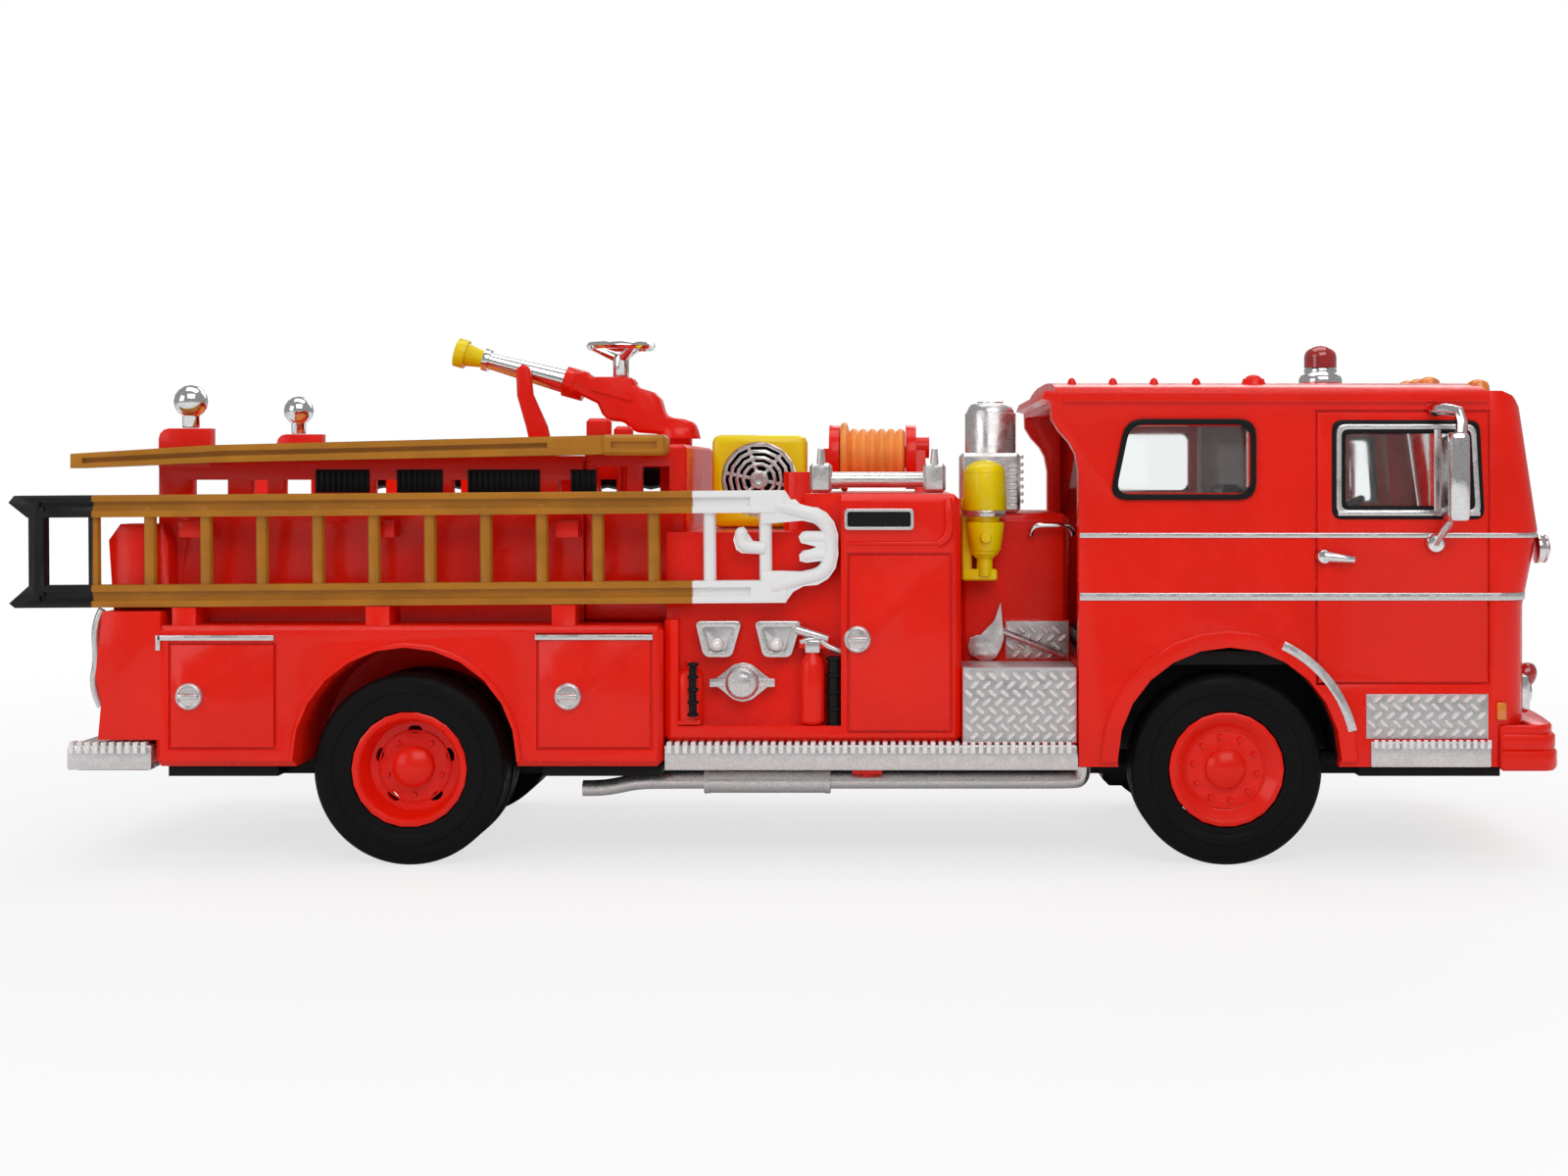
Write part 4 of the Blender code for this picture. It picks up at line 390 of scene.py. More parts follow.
def cast_copy(node, edge):
    """A merged copy of a solid with its edges softened, as paint softens a casting."""
    copy = pick(linked("cast_" + node, frame["nodes"][node].data.copy()))
    bpy.ops.object.mode_set(mode="EDIT")
    bpy.ops.mesh.select_all(action="SELECT")
    bpy.ops.mesh.remove_doubles(threshold=MERGE_DISTANCE)
    bpy.ops.mesh.dissolve_limited(angle_limit=FLAT_ANGLE)
    bpy.ops.object.mode_set(mode="OBJECT")
    bpy.ops.mesh.customdata_custom_splitnormals_clear()
    if edge:
        soften(copy, edge)
    else:
        bpy.ops.object.shade_smooth_by_angle(angle=SMOOTH_ANGLE)
    return finished(copy, NODE_SLOT[node], NODE_BODY[node], [node])


def tidy_normals(obj):
    """Turns all faces outwards."""
    pick(obj)
    bpy.ops.object.mode_set(mode="EDIT")
    bpy.ops.mesh.select_all(action="SELECT")
    bpy.ops.mesh.normals_make_consistent(inside=False)
    bpy.ops.object.mode_set(mode="OBJECT")
    return obj


def object_of(bm, name):
    """An object from a mesh built in code."""
    mesh = bpy.data.meshes.new(name)
    bm.to_mesh(mesh)
    bm.free()
    return tidy_normals(linked(name, mesh))


def block(x, y, z, edge=0.08):
    """A box between (low, high) along each axis, in millimetres, with soft edges."""
    spans = [sorted(span) for span in (x, y, z)]
    deselect()
    centre = [sum(span) * MM / 2 for span in spans]
    bpy.ops.mesh.primitive_cube_add(size=1, location=centre)
    obj = bpy.context.object
    obj.scale = [(span[1] - span[0]) * MM for span in spans]
    apply_place(obj)
    return soften(obj, edge * MM) if edge else obj


def pin(start, end, radius, end_radius=None, sides=24, edge=0.05):
    """A round pin or cone between two points, in millimetres."""
    start, end = Vector(start) * MM, Vector(end) * MM
    axis = end - start
    deselect()
    bpy.ops.mesh.primitive_cone_add(
        vertices=sides,
        radius1=radius * MM,
        radius2=(radius if end_radius is None else end_radius) * MM,
        depth=axis.length,
        location=(start + end) / 2,
        rotation=axis.to_track_quat("Z", "Y").to_euler(),
    )
    obj = bpy.context.object
    apply_place(obj)
    return soften(obj, edge * MM) if edge else obj


def ring(centre, axis, radius, wire, steps=40, sides=10):
    """A round wire ring, in millimetres."""
    deselect()
    bpy.ops.mesh.primitive_torus_add(
        major_radius=radius * MM,
        minor_radius=wire * MM,
        major_segments=steps,
        minor_segments=sides,
        location=Vector(centre) * MM,
        rotation=Vector(axis).to_track_quat("Z", "Y").to_euler(),
    )
    bpy.ops.object.shade_smooth()
    return apply_place(bpy.context.object)


def dome(centre, axis, radius, height):
    """Half a ball stretched to a height along an axis, in millimetres."""
    deselect()
    bpy.ops.mesh.primitive_uv_sphere_add(segments=24, ring_count=14, radius=radius * MM)
    obj = bpy.context.object
    obj.scale = (1, 1, height / radius)
    obj.rotation_euler = Vector(axis).to_track_quat("Z", "Y").to_euler()
    obj.location = Vector(centre) * MM
    bpy.ops.object.shade_smooth()
    return apply_place(obj)


def pipe(points, radius, sides=5):
    """A round pipe through points, in millimetres, with its bends smoothed."""
    curve = bpy.data.curves.new("pipe", "CURVE")
    curve.dimensions = "3D"
    curve.bevel_depth = radius * MM
    curve.bevel_resolution = sides
    curve.use_fill_caps = True
    curve.resolution_u = 8
    spline = curve.splines.new("NURBS")
    spline.points.add(len(points) - 1)
    for point, place in zip(spline.points, points):
        point.co = (*(Vector(place) * MM), 1.0)
    spline.use_endpoint_u = True
    spline.order_u = 3
    pick(linked("pipe", curve))
    bpy.ops.object.convert(target="MESH")
    obj = bpy.context.object
    bpy.ops.object.shade_smooth_by_angle(angle=SMOOTH_ANGLE)
    return obj


def rounded(points, radius, steps=4):
    """A polygon with its corners rounded; every corner gives the same number of points."""
    outline = []
    for i, corner in enumerate(points):
        corner = Vector(corner)
        back = (Vector(points[i - 1]) - corner).normalized()
        ahead = (Vector(points[(i + 1) % len(points)]) - corner).normalized()
        for k in range(steps + 1):
            share = k / steps
            outline.append(corner + back * radius * (1 - share) ** 2 + ahead * radius * share**2)
    return outline


def placed(plane, point, depth):
    """A point of a flat drawing in space: XZ drawings stand at a Y, YZ ones at an X, XY ones at a Z."""
    a, b = point
    return Vector({"XZ": (a, depth, b), "YZ": (depth, a, b), "XY": (a, b, depth)}[plane]) * MM


def flat_piece(outline, span, plane="XZ", hole=None, edge=0.04):
    """A flat shape, or the band between it and a hole with as many points, raised over a span."""
    bm = bmesh.new()
    outer = [bm.verts.new(placed(plane, point, span[0])) for point in outline]
    if hole:
        inner = [bm.verts.new(placed(plane, point, span[0])) for point in hole]
        faces = []
        for i in range(len(outer)):
            k = (i + 1) % len(outer)
            faces.append(bm.faces.new((outer[i], outer[k], inner[k], inner[i])))
    else:
        faces = [bm.faces.new(outer)]
    raised = bmesh.ops.extrude_face_region(bm, geom=faces)["geom"]
    shift = placed(plane, (0, 0), span[1] - span[0])
    corners = [item for item in raised if isinstance(item, bmesh.types.BMVert)]
    bmesh.ops.translate(bm, verts=corners, vec=shift)
    obj = object_of(bm, "flat_piece")
    return soften(obj, edge * MM, 50.0) if edge else obj


def band(path, low, high, thick):
    """An upright strip along a path of (X, Y) points, raised outwards by its thickness."""
    bm = bmesh.new()
    columns = []
    for i, point in enumerate(path):
        before, after = Vector(path[max(i - 1, 0)]), Vector(path[min(i + 1, len(path) - 1)])
        along = (after - before).normalized()
        out = Vector((along.y, -along.x)) * thick
        inner, outer = Vector(point), Vector(point) + out
        corners = ((inner, low), (outer, low), (outer, high), (inner, high))
        columns.append([bm.verts.new(placed("XY", p, z)) for p, z in corners])
    for left, right in zip(columns[:-1], columns[1:]):
        for i in range(4):
            k = (i + 1) % 4
            bm.faces.new((left[i], right[i], right[k], left[k]))
    bm.faces.new(columns[0])
    bm.faces.new(columns[-1][::-1])
    return soften(object_of(bm, "band"), 0.06 * MM)


# A lozenge's corners as shares of its half length and half width, at its foot and at its top
LOZENGE_FOOT = ((-1, 0), (-0.6, -1), (0.6, -1), (1, 0), (0.6, 1), (-0.6, 1))
LOZENGE_TOP = ((-0.55, -0.3), (0.55, -0.3), (0.55, 0.3), (-0.55, 0.3))
LOZENGE_HALF_LENGTH = 0.5
LOZENGE_SLENDERNESS = 0.4
LOZENGE_LEAN = 0.85


def lozenge(bm, centre, major, minor, rise):
    """One raised lozenge: six corners at its foot and four at its top."""
    a, b, c, d, e, f = [bm.verts.new((centre + major * u + minor * v) * MM) for u, v in LOZENGE_FOOT]
    p, q, r, s = [bm.verts.new((centre + major * u + minor * v + rise) * MM) for u, v in LOZENGE_TOP]
    sides = ((a, b, p), (b, c, q, p), (c, d, q), (d, r, q), (d, e, r), (e, f, s, r), (f, a, s), (a, p, s))
    for corners in sides + ((p, q, r, s), (f, e, d, c, b, a)):
        bm.faces.new(corners)


def tread(side, x_span, y, z, count, pitch=(1.04, 0.73)):
    """Rows of lozenges on an upright face, leaning to and fro, from its left seen from outside."""
    origin = Vector((x_span[0] if side < 0 else x_span[1], side * y, z))
    along, across, out = Vector((-side, 0, 0)), Vector((0, 0, 1)), Vector((0, side, 0))
    rise = out * sizes().tread / MM
    bm = bmesh.new()
    for row in range(count[1]):
        lean, shift = (-1, 0.25) if row % 2 else (1, 0.75)
        major = (along + across * LOZENGE_LEAN * lean).normalized() * LOZENGE_HALF_LENGTH
        minor = out.cross(major) * LOZENGE_SLENDERNESS
        for column in range(count[0]):
            centre = origin + along * (column + shift) * pitch[0] + across * (row + 0.5) * pitch[1]
            lozenge(bm, centre, major, minor, rise)
    return object_of(bm, "tread")


def joined(shapes, name):
    """Several shapes as one object."""
    deselect()
    for shape in shapes:
        shape.select_set(True)
    bpy.context.view_layer.objects.active = shapes[0]
    if len(shapes) > 1:
        bpy.ops.object.join()
    obj = bpy.context.object
    obj.name = name
    return obj


def piece(name, shapes, finish, body="root", replaces=()):
    """One named piece made of several shapes of the same finish."""
    return finished(joined(shapes, name), finish, body, replaces)


def mm_box(node):
    """A solid's lowest and highest corner, in millimetres."""
    low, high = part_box(node)
    return low / MM, high / MM


# The two sides: the sign of Y and the letter in the names. The photograph shows the right one.
SIDES = ((-1, "r"), (1, "l"))
UP, ACROSS, AHEAD = (0, 0, 1), (0, 1, 0), (1, 0, 0)

# Flat faces, as distances from the middle plane in millimetres
CAB_FACE = 19.0
HOUSE_FACE = 18.4
PANEL_FACE = 16.4
STEP_FACE = 18.5
TAIL_FACE = 17.6
# The engine cover stands a little further out on the right.
COVER_FACE = {"r": 10.22, "l": 10.02}
# Clearance that keeps two faces from lying in one plane
SKIN = 0.02


def proud(side, face, low, high):
    """The Y span of a fitting that reaches from low to high millimetres outside a face."""
    return side * (face + low), side * (face + high)


def upright(x, y, low, high, radius, top=None, sides=24, edge=0.05):
    """A standing pin or cone."""
    return pin((x, y, low), (x, y, high), radius, top, sides, edge)


def row_of_blocks(start, pitch, width, count, y, z, edge):
    """Equal small blocks in a row along X."""
    return [block((start + pitch * i, start + pitch * i + width), y, z, edge) for i in range(count)]


def frame_piece(outlines, span, edge=0.04):
    """A band between two rounded outlines, each given as its corners and their radius."""
    outer, inner = [rounded(corners, radius) for corners, radius in outlines]
    return flat_piece(outer, span, hole=inner, edge=edge)


def arc_points(centre, radius, degrees):
    """Points of a circle in a flat drawing, at the given degrees."""
    turns = [math.radians(d) for d in degrees]
    return [(centre[0] + radius * math.cos(a), centre[1] + radius * math.sin(a)) for a in turns]


# Nodes that the steps below model anew
REMADE = ("tyre", "tool_boards", "extinguisher_a", "exhaust", "beacon_dome")


class ENGINE_OT_castings(bpy.types.Operator):
    """Soften and paint the castings and mouldings"""

    bl_idname = "engine.castings"
    bl_label = "Castings"

    def execute(self, context):
        edge = sizes().edge
        for node in sorted(frame["nodes"]):
            if node.startswith("glass"):
                frame["nodes"][node].data.materials[0] = material("clear_plastic")
            elif not node.startswith(REMADE):
                cast_copy(node, edge)
        bpy.data.objects["cast_attic_ladder"].data.materials[0] = material("plain_brown")
        return {"FINISHED"}


RIM_SEAT = 5.02
TWIN_GAP = 0.5
TYRE_STEPS = 96
NUT_HEIGHT = 0.35
HUB_RING_MARGIN = 0.62
# Axle, lug nuts, radius of their ring, radius of a nut, depth of the dish behind the tyre's face
AXLES = (("front", 10, 2.75, 0.27, 0.95), ("rear", 5, 2.45, 0.24, 2.45))


def tyre_section(low, high, rim, outer):
    """One tyre's outline as (radius, place across): beads, ringed sidewalls and a tread with two grooves."""
    width = high - low
    half = [
        (rim, 0.10), (rim + 0.35, 0.02), (rim + 0.6, 0.07), (rim + 0.75, 0.0), (rim + 1.45, 0.0),
        (rim + 1.5, 0.05), (rim + 1.6, 0.05), (rim + 1.65, 0.0), (outer - 0.9, 0.03), (outer - 0.55, 0.10),
        (outer - 0.42, 0.17), (outer - 0.28, 0.17), (outer - 0.15, 0.3), (outer, 0.5),
    ]
    grooves = [(0.30, 0.0), (0.31, 0.22), (0.36, 0.22), (0.37, 0.0)]
    near = [(r, low + y) for r, y in half] + [(outer - d, low + share * width) for share, d in grooves]
    far = [(r, low + high - y) for r, y in near]
    return near + far[::-1]


def lathe(profile, x, z, name):
    """A closed outline of (radius, Y) turned round a line along Y."""
    bm = bmesh.new()
    verts = [bm.verts.new(Vector((x + r, y, z)) * MM) for r, y in profile]
    edges = [bm.edges.new((verts[i], verts[(i + 1) % len(verts)])) for i in range(len(verts))]
    centre = Vector((x, 0, z)) * MM
    bmesh.ops.spin(
        bm, geom=verts + edges, cent=centre, axis=ACROSS, angle=math.tau, steps=TYRE_STEPS, use_merge=True
    )
    bmesh.ops.remove_doubles(bm, verts=bm.verts, dist=0.0005 * MM)
    obj = object_of(bm, name)
    bpy.ops.object.shade_smooth_by_angle(angle=math.radians(35.0))
    return obj


def lug_nuts(nuts, spread, size, face, side, x, z):
    """Six-sided nuts in a ring on the hub, and a raised ring round them."""
    studs = []
    for i in range(nuts):
        angle = math.tau * (i + 0.75) / nuts
        place = Vector((x + spread * math.cos(angle), face, z + spread * math.sin(angle)))
        top = place + Vector((0, side * NUT_HEIGHT, 0))
        studs.append(pin(place, top, size, size * 0.75, 6, 0.03))
    studs.append(ring((x, face + side * 0.05, z), ACROSS, spread + HUB_RING_MARGIN, 0.09))
    return studs


class ENGINE_OT_wheels(bpy.types.Operator):
    """Tyres with ringed sidewalls and grooved treads, lug nuts and hub rings"""

    bl_idname = "engine.wheels"
    bl_label = "Wheels"

    def execute(self, context):
        for axle, nuts, spread, size, dish in AXLES:
            for side, key in SIDES:
                node = f"tyre_{axle}_{key}"
                low, high = mm_box(node)
                x, middle = (low.x + high.x) / 2, (low.y + high.y) / 2
                outer = (high.z - low.z) / 2
                spans = [(low.y, high.y)]
                if axle == "rear":
                    spans = [(low.y, middle - TWIN_GAP / 2), (middle + TWIN_GAP / 2, high.y)]
                tyres = [lathe(tyre_section(a, b, RIM_SEAT, outer), x, outer, node) for a, b in spans]
                piece(f"tread_{axle}_{key}", tyres, "black_rubber", NODE_BODY[node], replaces=[node])
                face = side * (max(abs(low.y), abs(high.y)) - dish)
                studs = lug_nuts(nuts, spread, size, face, side, x, outer)
                piece(f"lug_nuts_{axle}_{key}", studs, "red_enamel", NODE_BODY[node])
        return {"FINISHED"}


# The front wheel arch, the cab's rear edge and the nose, as (X, Z)
ARCH_CENTRE = (37.1, 9.3)
CAB_REAR_X = 24.4
NOSE_FOOT, NOSE_BREAK = (62.8, 22.3), (64.1, 28.7)
CORNER_RADIUS = 3.0
# Lower and upper edge of each belt strip
BELT_STRIPS = ((28.07, 28.5), (22.75, 23.4))

# Outer and inner outline of each window's surround: corners as (X, Z) and their radius
QUARTER_GASKET = (
    (((26.9, 31.3), (39.4, 31.3), (39.4, 38.2), (28.3, 38.2)), 1.5),
    (((27.45, 31.8), (38.9, 31.8), (38.9, 37.7), (28.7, 37.7)), 1.2),
)
DOOR_FRAME = (
    (((46.2, 30.0), (58.5, 30.0), (58.05, 37.75), (46.2, 37.75)), 0.8),
    (((46.65, 30.45), (58.0, 30.45), (57.6, 37.3), (46.65, 37.3)), 0.6),
)
DOOR_SEAL = (
    (((45.85, 29.65), (58.85, 29.65), (58.4, 38.1), (45.85, 38.1)), 0.9),
    (((47.0, 30.8), (57.65, 30.8), (57.2, 36.95), (47.0, 36.95)), 0.5),
)

# Points of the grab rail behind the cab: X, distance from the middle plane, Z
GRAB_RAIL = (
    (20.8, 10.4, 28.1), (20.8, 10.9, 28.9), (22.6, 11.0, 29.0), (24.5, 10.9, 28.9), (24.5, 10.4, 28.1),
)
ROOF_STUD_XS = (24.2, 27.8, 31.4, 35.1)
ROOF_MARKER_YS = (-4.0, 0.0, 4.0)
BEACON_X, BEACON_RADIUS = 48.7, 1.5


def cab_corner_path(z, side):
    """The cab's outside at a height, from its rear edge round the front corner, as (X, Y)."""
    share = (z - NOSE_FOOT[1]) / (NOSE_BREAK[1] - NOSE_FOOT[1])
    nose = NOSE_FOOT[0] + (NOSE_BREAK[0] - NOSE_FOOT[0]) * share
    corner = (nose - CORNER_RADIUS, CAB_FACE - CORNER_RADIUS)
    path = [(CAB_REAR_X, CAB_FACE)] + arc_points(corner, CORNER_RADIUS, range(90, 23, -11))
    path = [(x, side * y) for x, y in path]
    return path if side < 0 else path[::-1]


def belt_strips(side, key):
    """Two bright strips that run along the cab and round its front corner."""
    thick = sizes().belt / MM
    strips = [band(cab_corner_path((low + high) / 2, side), low, high, thick) for low, high in BELT_STRIPS]
    piece(f"belt_strips_{key}", strips, "silver_paint")


def window_surrounds(side, key):
    """Gasket of the quarter window, frame and seal of the door's window."""
    seal = frame_piece(QUARTER_GASKET, proud(side, CAB_FACE, -0.9, 0.3), 0.1)
    piece(f"quarter_gasket_{key}", [seal], "black_plastic")
    rim = frame_piece(DOOR_FRAME, proud(side, CAB_FACE, -0.4, 0.25), 0.1)
    post = block((54.5, 55.1), proud(side, CAB_FACE, -0.5, 0.15), (30.3, 37.5))
    sill = block((46.3, 58.4), proud(side, CAB_FACE, -0.2, 0.4), (29.95, 30.35), 0.1)
    piece(f"door_window_frame_{key}", [rim, post, sill], "silver_paint")
    seal = frame_piece(DOOR_SEAL, proud(side, CAB_FACE, -0.9, 0.1), 0.05)
    piece(f"door_window_seal_{key}", [seal], "black_plastic")


def cab_handles(side, key):
    """The door's lever handle and the grab rail behind the cab."""
    seat, outside = proud(side, CAB_FACE, 0, 0.75)
    grip_start, grip_end = proud(side, CAB_FACE, 0.4, 0.5)
    grip = pin((45.1, grip_start, 26.5), (47.7, grip_end, 26.25), 0.5, 0.3)
    boss = pin((45.1, seat, 26.5), (45.1, outside, 26.5), 0.72, 0.55)
    piece(f"door_handle_{key}", [grip, boss], "chrome_plating")
    rail = [(x, side * y, z) for x, y, z in GRAB_RAIL]
    piece(f"crew_handrail_{key}", [pipe(rail, 0.24)], "chrome_plating")


def cab_step(side, key):
    """The step below the door, the tread plate above it and the side marker."""
    base = block((49.1, 59.3), proud(side, CAB_FACE, -0.3, 0.45), (8.62, 10.78), 0.1)
    cleats = row_of_blocks(49.35, 0.6, 0.35, 17, proud(side, CAB_FACE, 0.35, 0.57), (10.2, 10.95), 0.06)
    piece(f"cab_step_plate_{key}", [base], "silver_paint")
    # The cleats and lozenges are in the lighter silver, a painted highlight, and the plate's ground in the
    # darker one, a painted shade.
    piece(f"cab_step_cleats_{key}", cleats, "highlight_painted_silver")
    panel = block((48.75, 59.15), proud(side, CAB_FACE, -0.1, 0.1), (11.0, 14.8), 0.06)
    marks = tread(side, (48.9, 59.05), CAB_FACE + 0.1, 11.15, (9, 5), (1.1, 0.72))
    piece(f"cab_diamond_plate_{key}", [panel], "shade_painted_silver")
    piece(f"cab_diamonds_{key}", [marks], "highlight_painted_silver")
    marker = block((59.85, 60.65), proud(side, CAB_FACE, -0.3, 0.35), (12.6, 14.1), 0.15)
    piece(f"side_marker_{key}", [marker], "amber_lens")


def arch_trim(side, key):
    """The bright strip on the front half of the wheel arch's lip."""
    outer, inner = [arc_points(ARCH_CENTRE, radius, range(13, 66, 4)) for radius in (11.05, 10.3)]
    trim = flat_piece(outer + inner[::-1], proud(side, CAB_FACE, 0.4, 0.62), edge=0.05)
    piece(f"arch_trim_{key}", [trim], "silver_paint")


def roof_fittings(side, key):
    """Red studs along the roof's edge and the amber marker at its front corner."""
    studs = [dome((x, side * 13.5, 41.2), UP, 0.42, 0.75) for x in ROOF_STUD_XS]
    studs.append(upright(40.2, side * 13.0, 41.0, 41.9, 1.2, 0.9))
    studs.append(dome((40.2, side * 13.0, 41.85), UP, 0.7, 0.4))
    piece(f"roof_studs_{key}", studs, "red_enamel")
    x, y = 59.6, side * 14.2
    marker = [upright(x, y, 40.3, 41.3, 1.05, 0.95), dome((x, y, 41.25), UP, 0.9, 0.6)]
    piece(f"corner_marker_{key}", marker, "amber_lens")


def cab_linings():
    """Grey walls between the cab's windows, and black linings of the front wheel arches."""
    walls = []
    for side, _ in SIDES:
        walls.append(block((39.6, 45.7), (side * 17.25, side * 17.6), (29.4, 39.0), 0.12))
        walls.append(block((39.6, 40.0), (side * 16.9, side * 17.3), (29.4, 39.0), 0.1))
    piece("cab_wall_liners", walls, "grey_trim")
    outer, inner = [arc_points(ARCH_CENTRE, radius, range(0, 181, 6)) for radius in (9.7, 9.45)]
    for side, key in SIDES:
        wall = flat_piece(outer, (side * 12.4, side * 12.7))
        barrel = flat_piece(outer + inner[::-1], (side * 12.6, side * 17.6), edge=0)
        piece(f"arch_liner_{key}", [wall, barrel], "black_plastic")


def roof_lamps():
    """The beacon's ruby dome and the three amber markers over the windscreen."""
    bulb = [
        upright(BEACON_X, 0, 43.46, 44.5, BEACON_RADIUS, sides=40, edge=0),
        dome((BEACON_X, 0, 44.45), UP, BEACON_RADIUS, 1.2),
    ]
    piece("beacon_lens", bulb, "ruby_lens", replaces=["beacon_dome"])
    feet = [block((56.4, 59.4), (y - 1.0, y + 1.0), (41.0, 41.85), 0.25) for y in ROOF_MARKER_YS]
    piece("marker_feet", feet, "red_enamel")
    caps = [dome((57.9, y, 41.8), UP, 1.0, 0.75) for y in ROOF_MARKER_YS]
    piece("roof_markers", caps, "amber_lens")


class ENGINE_OT_cab_trim(bpy.types.Operator):
    """Strips, gaskets, handles, step plates and markers of the cab"""

    bl_idname = "engine.cab_trim"
    bl_label = "Cab trim"

    def execute(self, context):
        for side, key in SIDES:
            for fit in (belt_strips, window_surrounds, cab_handles, cab_step, arch_trim, roof_fittings):
                fit(side, key)
        cab_linings()
        roof_lamps()
        return {"FINISHED"}


# X, Z and face of each round latch
LATCHES = ((-51.3, 14.6, CAB_FACE), (-19.1, 14.6, CAB_FACE), (5.5, 19.4, HOUSE_FACE))
# X span and Z span of each bright strip over the locker doors
LOCKER_STRIPS = (
    ((-54.0, -44.1), (19.35, 19.8)), ((-54.15, -53.75), (18.5, 19.8)), ((-21.9, -11.9), (19.4, 19.85)),
)
BOARDS = (("running_board_tread", (-10.9, 24.2)), ("rear_step_tread", (-61.7, -54.5)))
BOARD_CLEAT_PITCH = 0.68

# A dished bracket's outer edge and dish, as (X, Z) from its middle, with their radii
BRACKET = (
    (((-1.25, 17.8), (1.15, 17.8), (2.05, 20.9), (-2.0, 20.9)), 0.5),
    (((-0.75, 18.3), (0.65, 18.3), (1.35, 20.4), (-1.35, 20.4)), 0.3),
)
BRACKET_XS = (-6.45, -1.35)
BRACKET_KNOB_Z = 18.9
TAIL_RAIL = ((-59.2, 21.9), (-59.9, 20.6), (-59.6, 17.5), (-60.1, 15.2), (-59.3, 13.6))
PLATE_BORDER = (
    (((4.4, 28.75), (10.3, 28.75), (10.3, 30.55), (4.4, 30.55)), 0.35),
    (((4.65, 29.0), (10.05, 29.0), (10.05, 30.3), (4.65, 30.3)), 0.25),
)
# Points of the moulding round the pump house's front corner: X, distance from the middle plane, Z
CORNER_MOULDING = (
    (13.2, 18.2, 31.3), (13.35, 18.55, 30.4), (13.35, 18.55, 28.6), (13.0, 18.5, 27.9), (12.4, 18.3, 27.6),
)
# The discharge cap's flange with its two ears
FLANGE = (
    (-7.2, 15.6), (-6.3, 16.2), (-5.2, 17.1), (-4.4, 17.3), (-3.6, 17.1), (-2.5, 16.2),
    (-1.6, 15.6), (-2.5, 15.0), (-3.6, 14.1), (-4.4, 13.9), (-5.2, 14.1), (-6.3, 15.0),
)


def locker_fittings(side, key):
    """Round latches and the strips over the locker doors."""
    latches = []
    for x, z, face in LATCHES:
        seat, top = proud(side, face, 0, 0.34)
        latches.append(pin((x, seat, z), (x, top, z), 1.2, 1.12))
        latches.append(ring((x, top, z), ACROSS, 0.95, 0.13))
        latches.append(block((x - 0.85, x + 0.85), proud(side, face, 0, 0.62), (z - 0.2, z + 0.2)))
    piece(f"locker_latches_{key}", latches, "silver_paint")
    strips = [block(x, proud(side, CAB_FACE, 0, 0.16), z, 0.05) for x, z in LOCKER_STRIPS]
    piece(f"locker_strips_{key}", strips, "silver_paint")


def board_treads(side, key):
    """Facings of the running board and the rear step, with a row of cleats on each."""
    for name, (low, high) in BOARDS:
        facing = block((low, high), proud(side, CAB_FACE, -1.2, 0.1), (8.35, 10.45), 0.15)
        piece(f"{name}_{key}", [facing], "silver_paint")
        count = int((high - low) / BOARD_CLEAT_PITCH)
        y = proud(side, CAB_FACE, -1.0, 0.22)
        cleats = row_of_blocks(low + 0.2, BOARD_CLEAT_PITCH, 0.4, count, y, (9.75, 10.72), 0.06)
        # The cleats are in the lighter silver, a painted highlight.
        piece(f"{name}_cleats_{key}", cleats, "highlight_painted_silver")


def crew_step_plates(side, key):
    """Tread plates on the crew step's riser and on the engine cover above it."""
    riser = block((14.5, 24.2), proud(side, STEP_FACE, -0.2, 0), (10.6, 16.85), 0.06)
    marks = tread(side, (14.7, 24.05), STEP_FACE, 10.75, (9, 8))
    cover = COVER_FACE[key]
    kick = block((18.6, 24.2), proud(side, cover, -0.1, 0.06), (17.0, 20.4), 0.05)
    kick_marks = tread(side, (18.7, 24.15), cover + 0.06, 17.05, (5, 4))
    deck_edge = block((14.5, 24.2), (side * 12.0, side * STEP_FACE), (16.8, 17.0), 0.05)
    # The plates and the deck's edge are in the darker silver, a painted shade, and their lozenges in the
    # lighter one, a painted highlight.
    piece(f"crew_step_plates_{key}", [riser, kick, deck_edge], "shade_painted_silver")
    piece(f"crew_step_diamonds_{key}", [marks, kick_marks], "highlight_painted_silver")


def step_brackets(side, key):
    """Two dished brackets with a knob in each."""
    dishes, knobs = [], []
    for middle in BRACKET_XS:
        outlines = [([(middle + x, z) for x, z in corners], radius) for corners, radius in BRACKET]
        dishes.append(flat_piece(rounded(*outlines[0]), proud(side, PANEL_FACE, 0.06, 0.8), edge=0.12))
        dishes.append(frame_piece(outlines, proud(side, PANEL_FACE, 0.7, 1.2), 0.1))
        x, z = middle - 0.1, BRACKET_KNOB_Z
        seat, top = proud(side, PANEL_FACE, 0.7, 1.7)
        knobs.append(pin((x, seat, z), (x, top, z), 0.6, 0.5))
        knobs.append(dome((x, side * (PANEL_FACE + 1.65), z), (0, side, 0), 0.45, 0.3))
    piece(f"step_brackets_{key}", dishes, "silver_paint", replaces=[f"tool_boards_{key}"])
    # The knobs are in the lighter silver, a painted highlight.
    piece(f"step_bracket_knobs_{key}", knobs, "highlight_painted_silver")


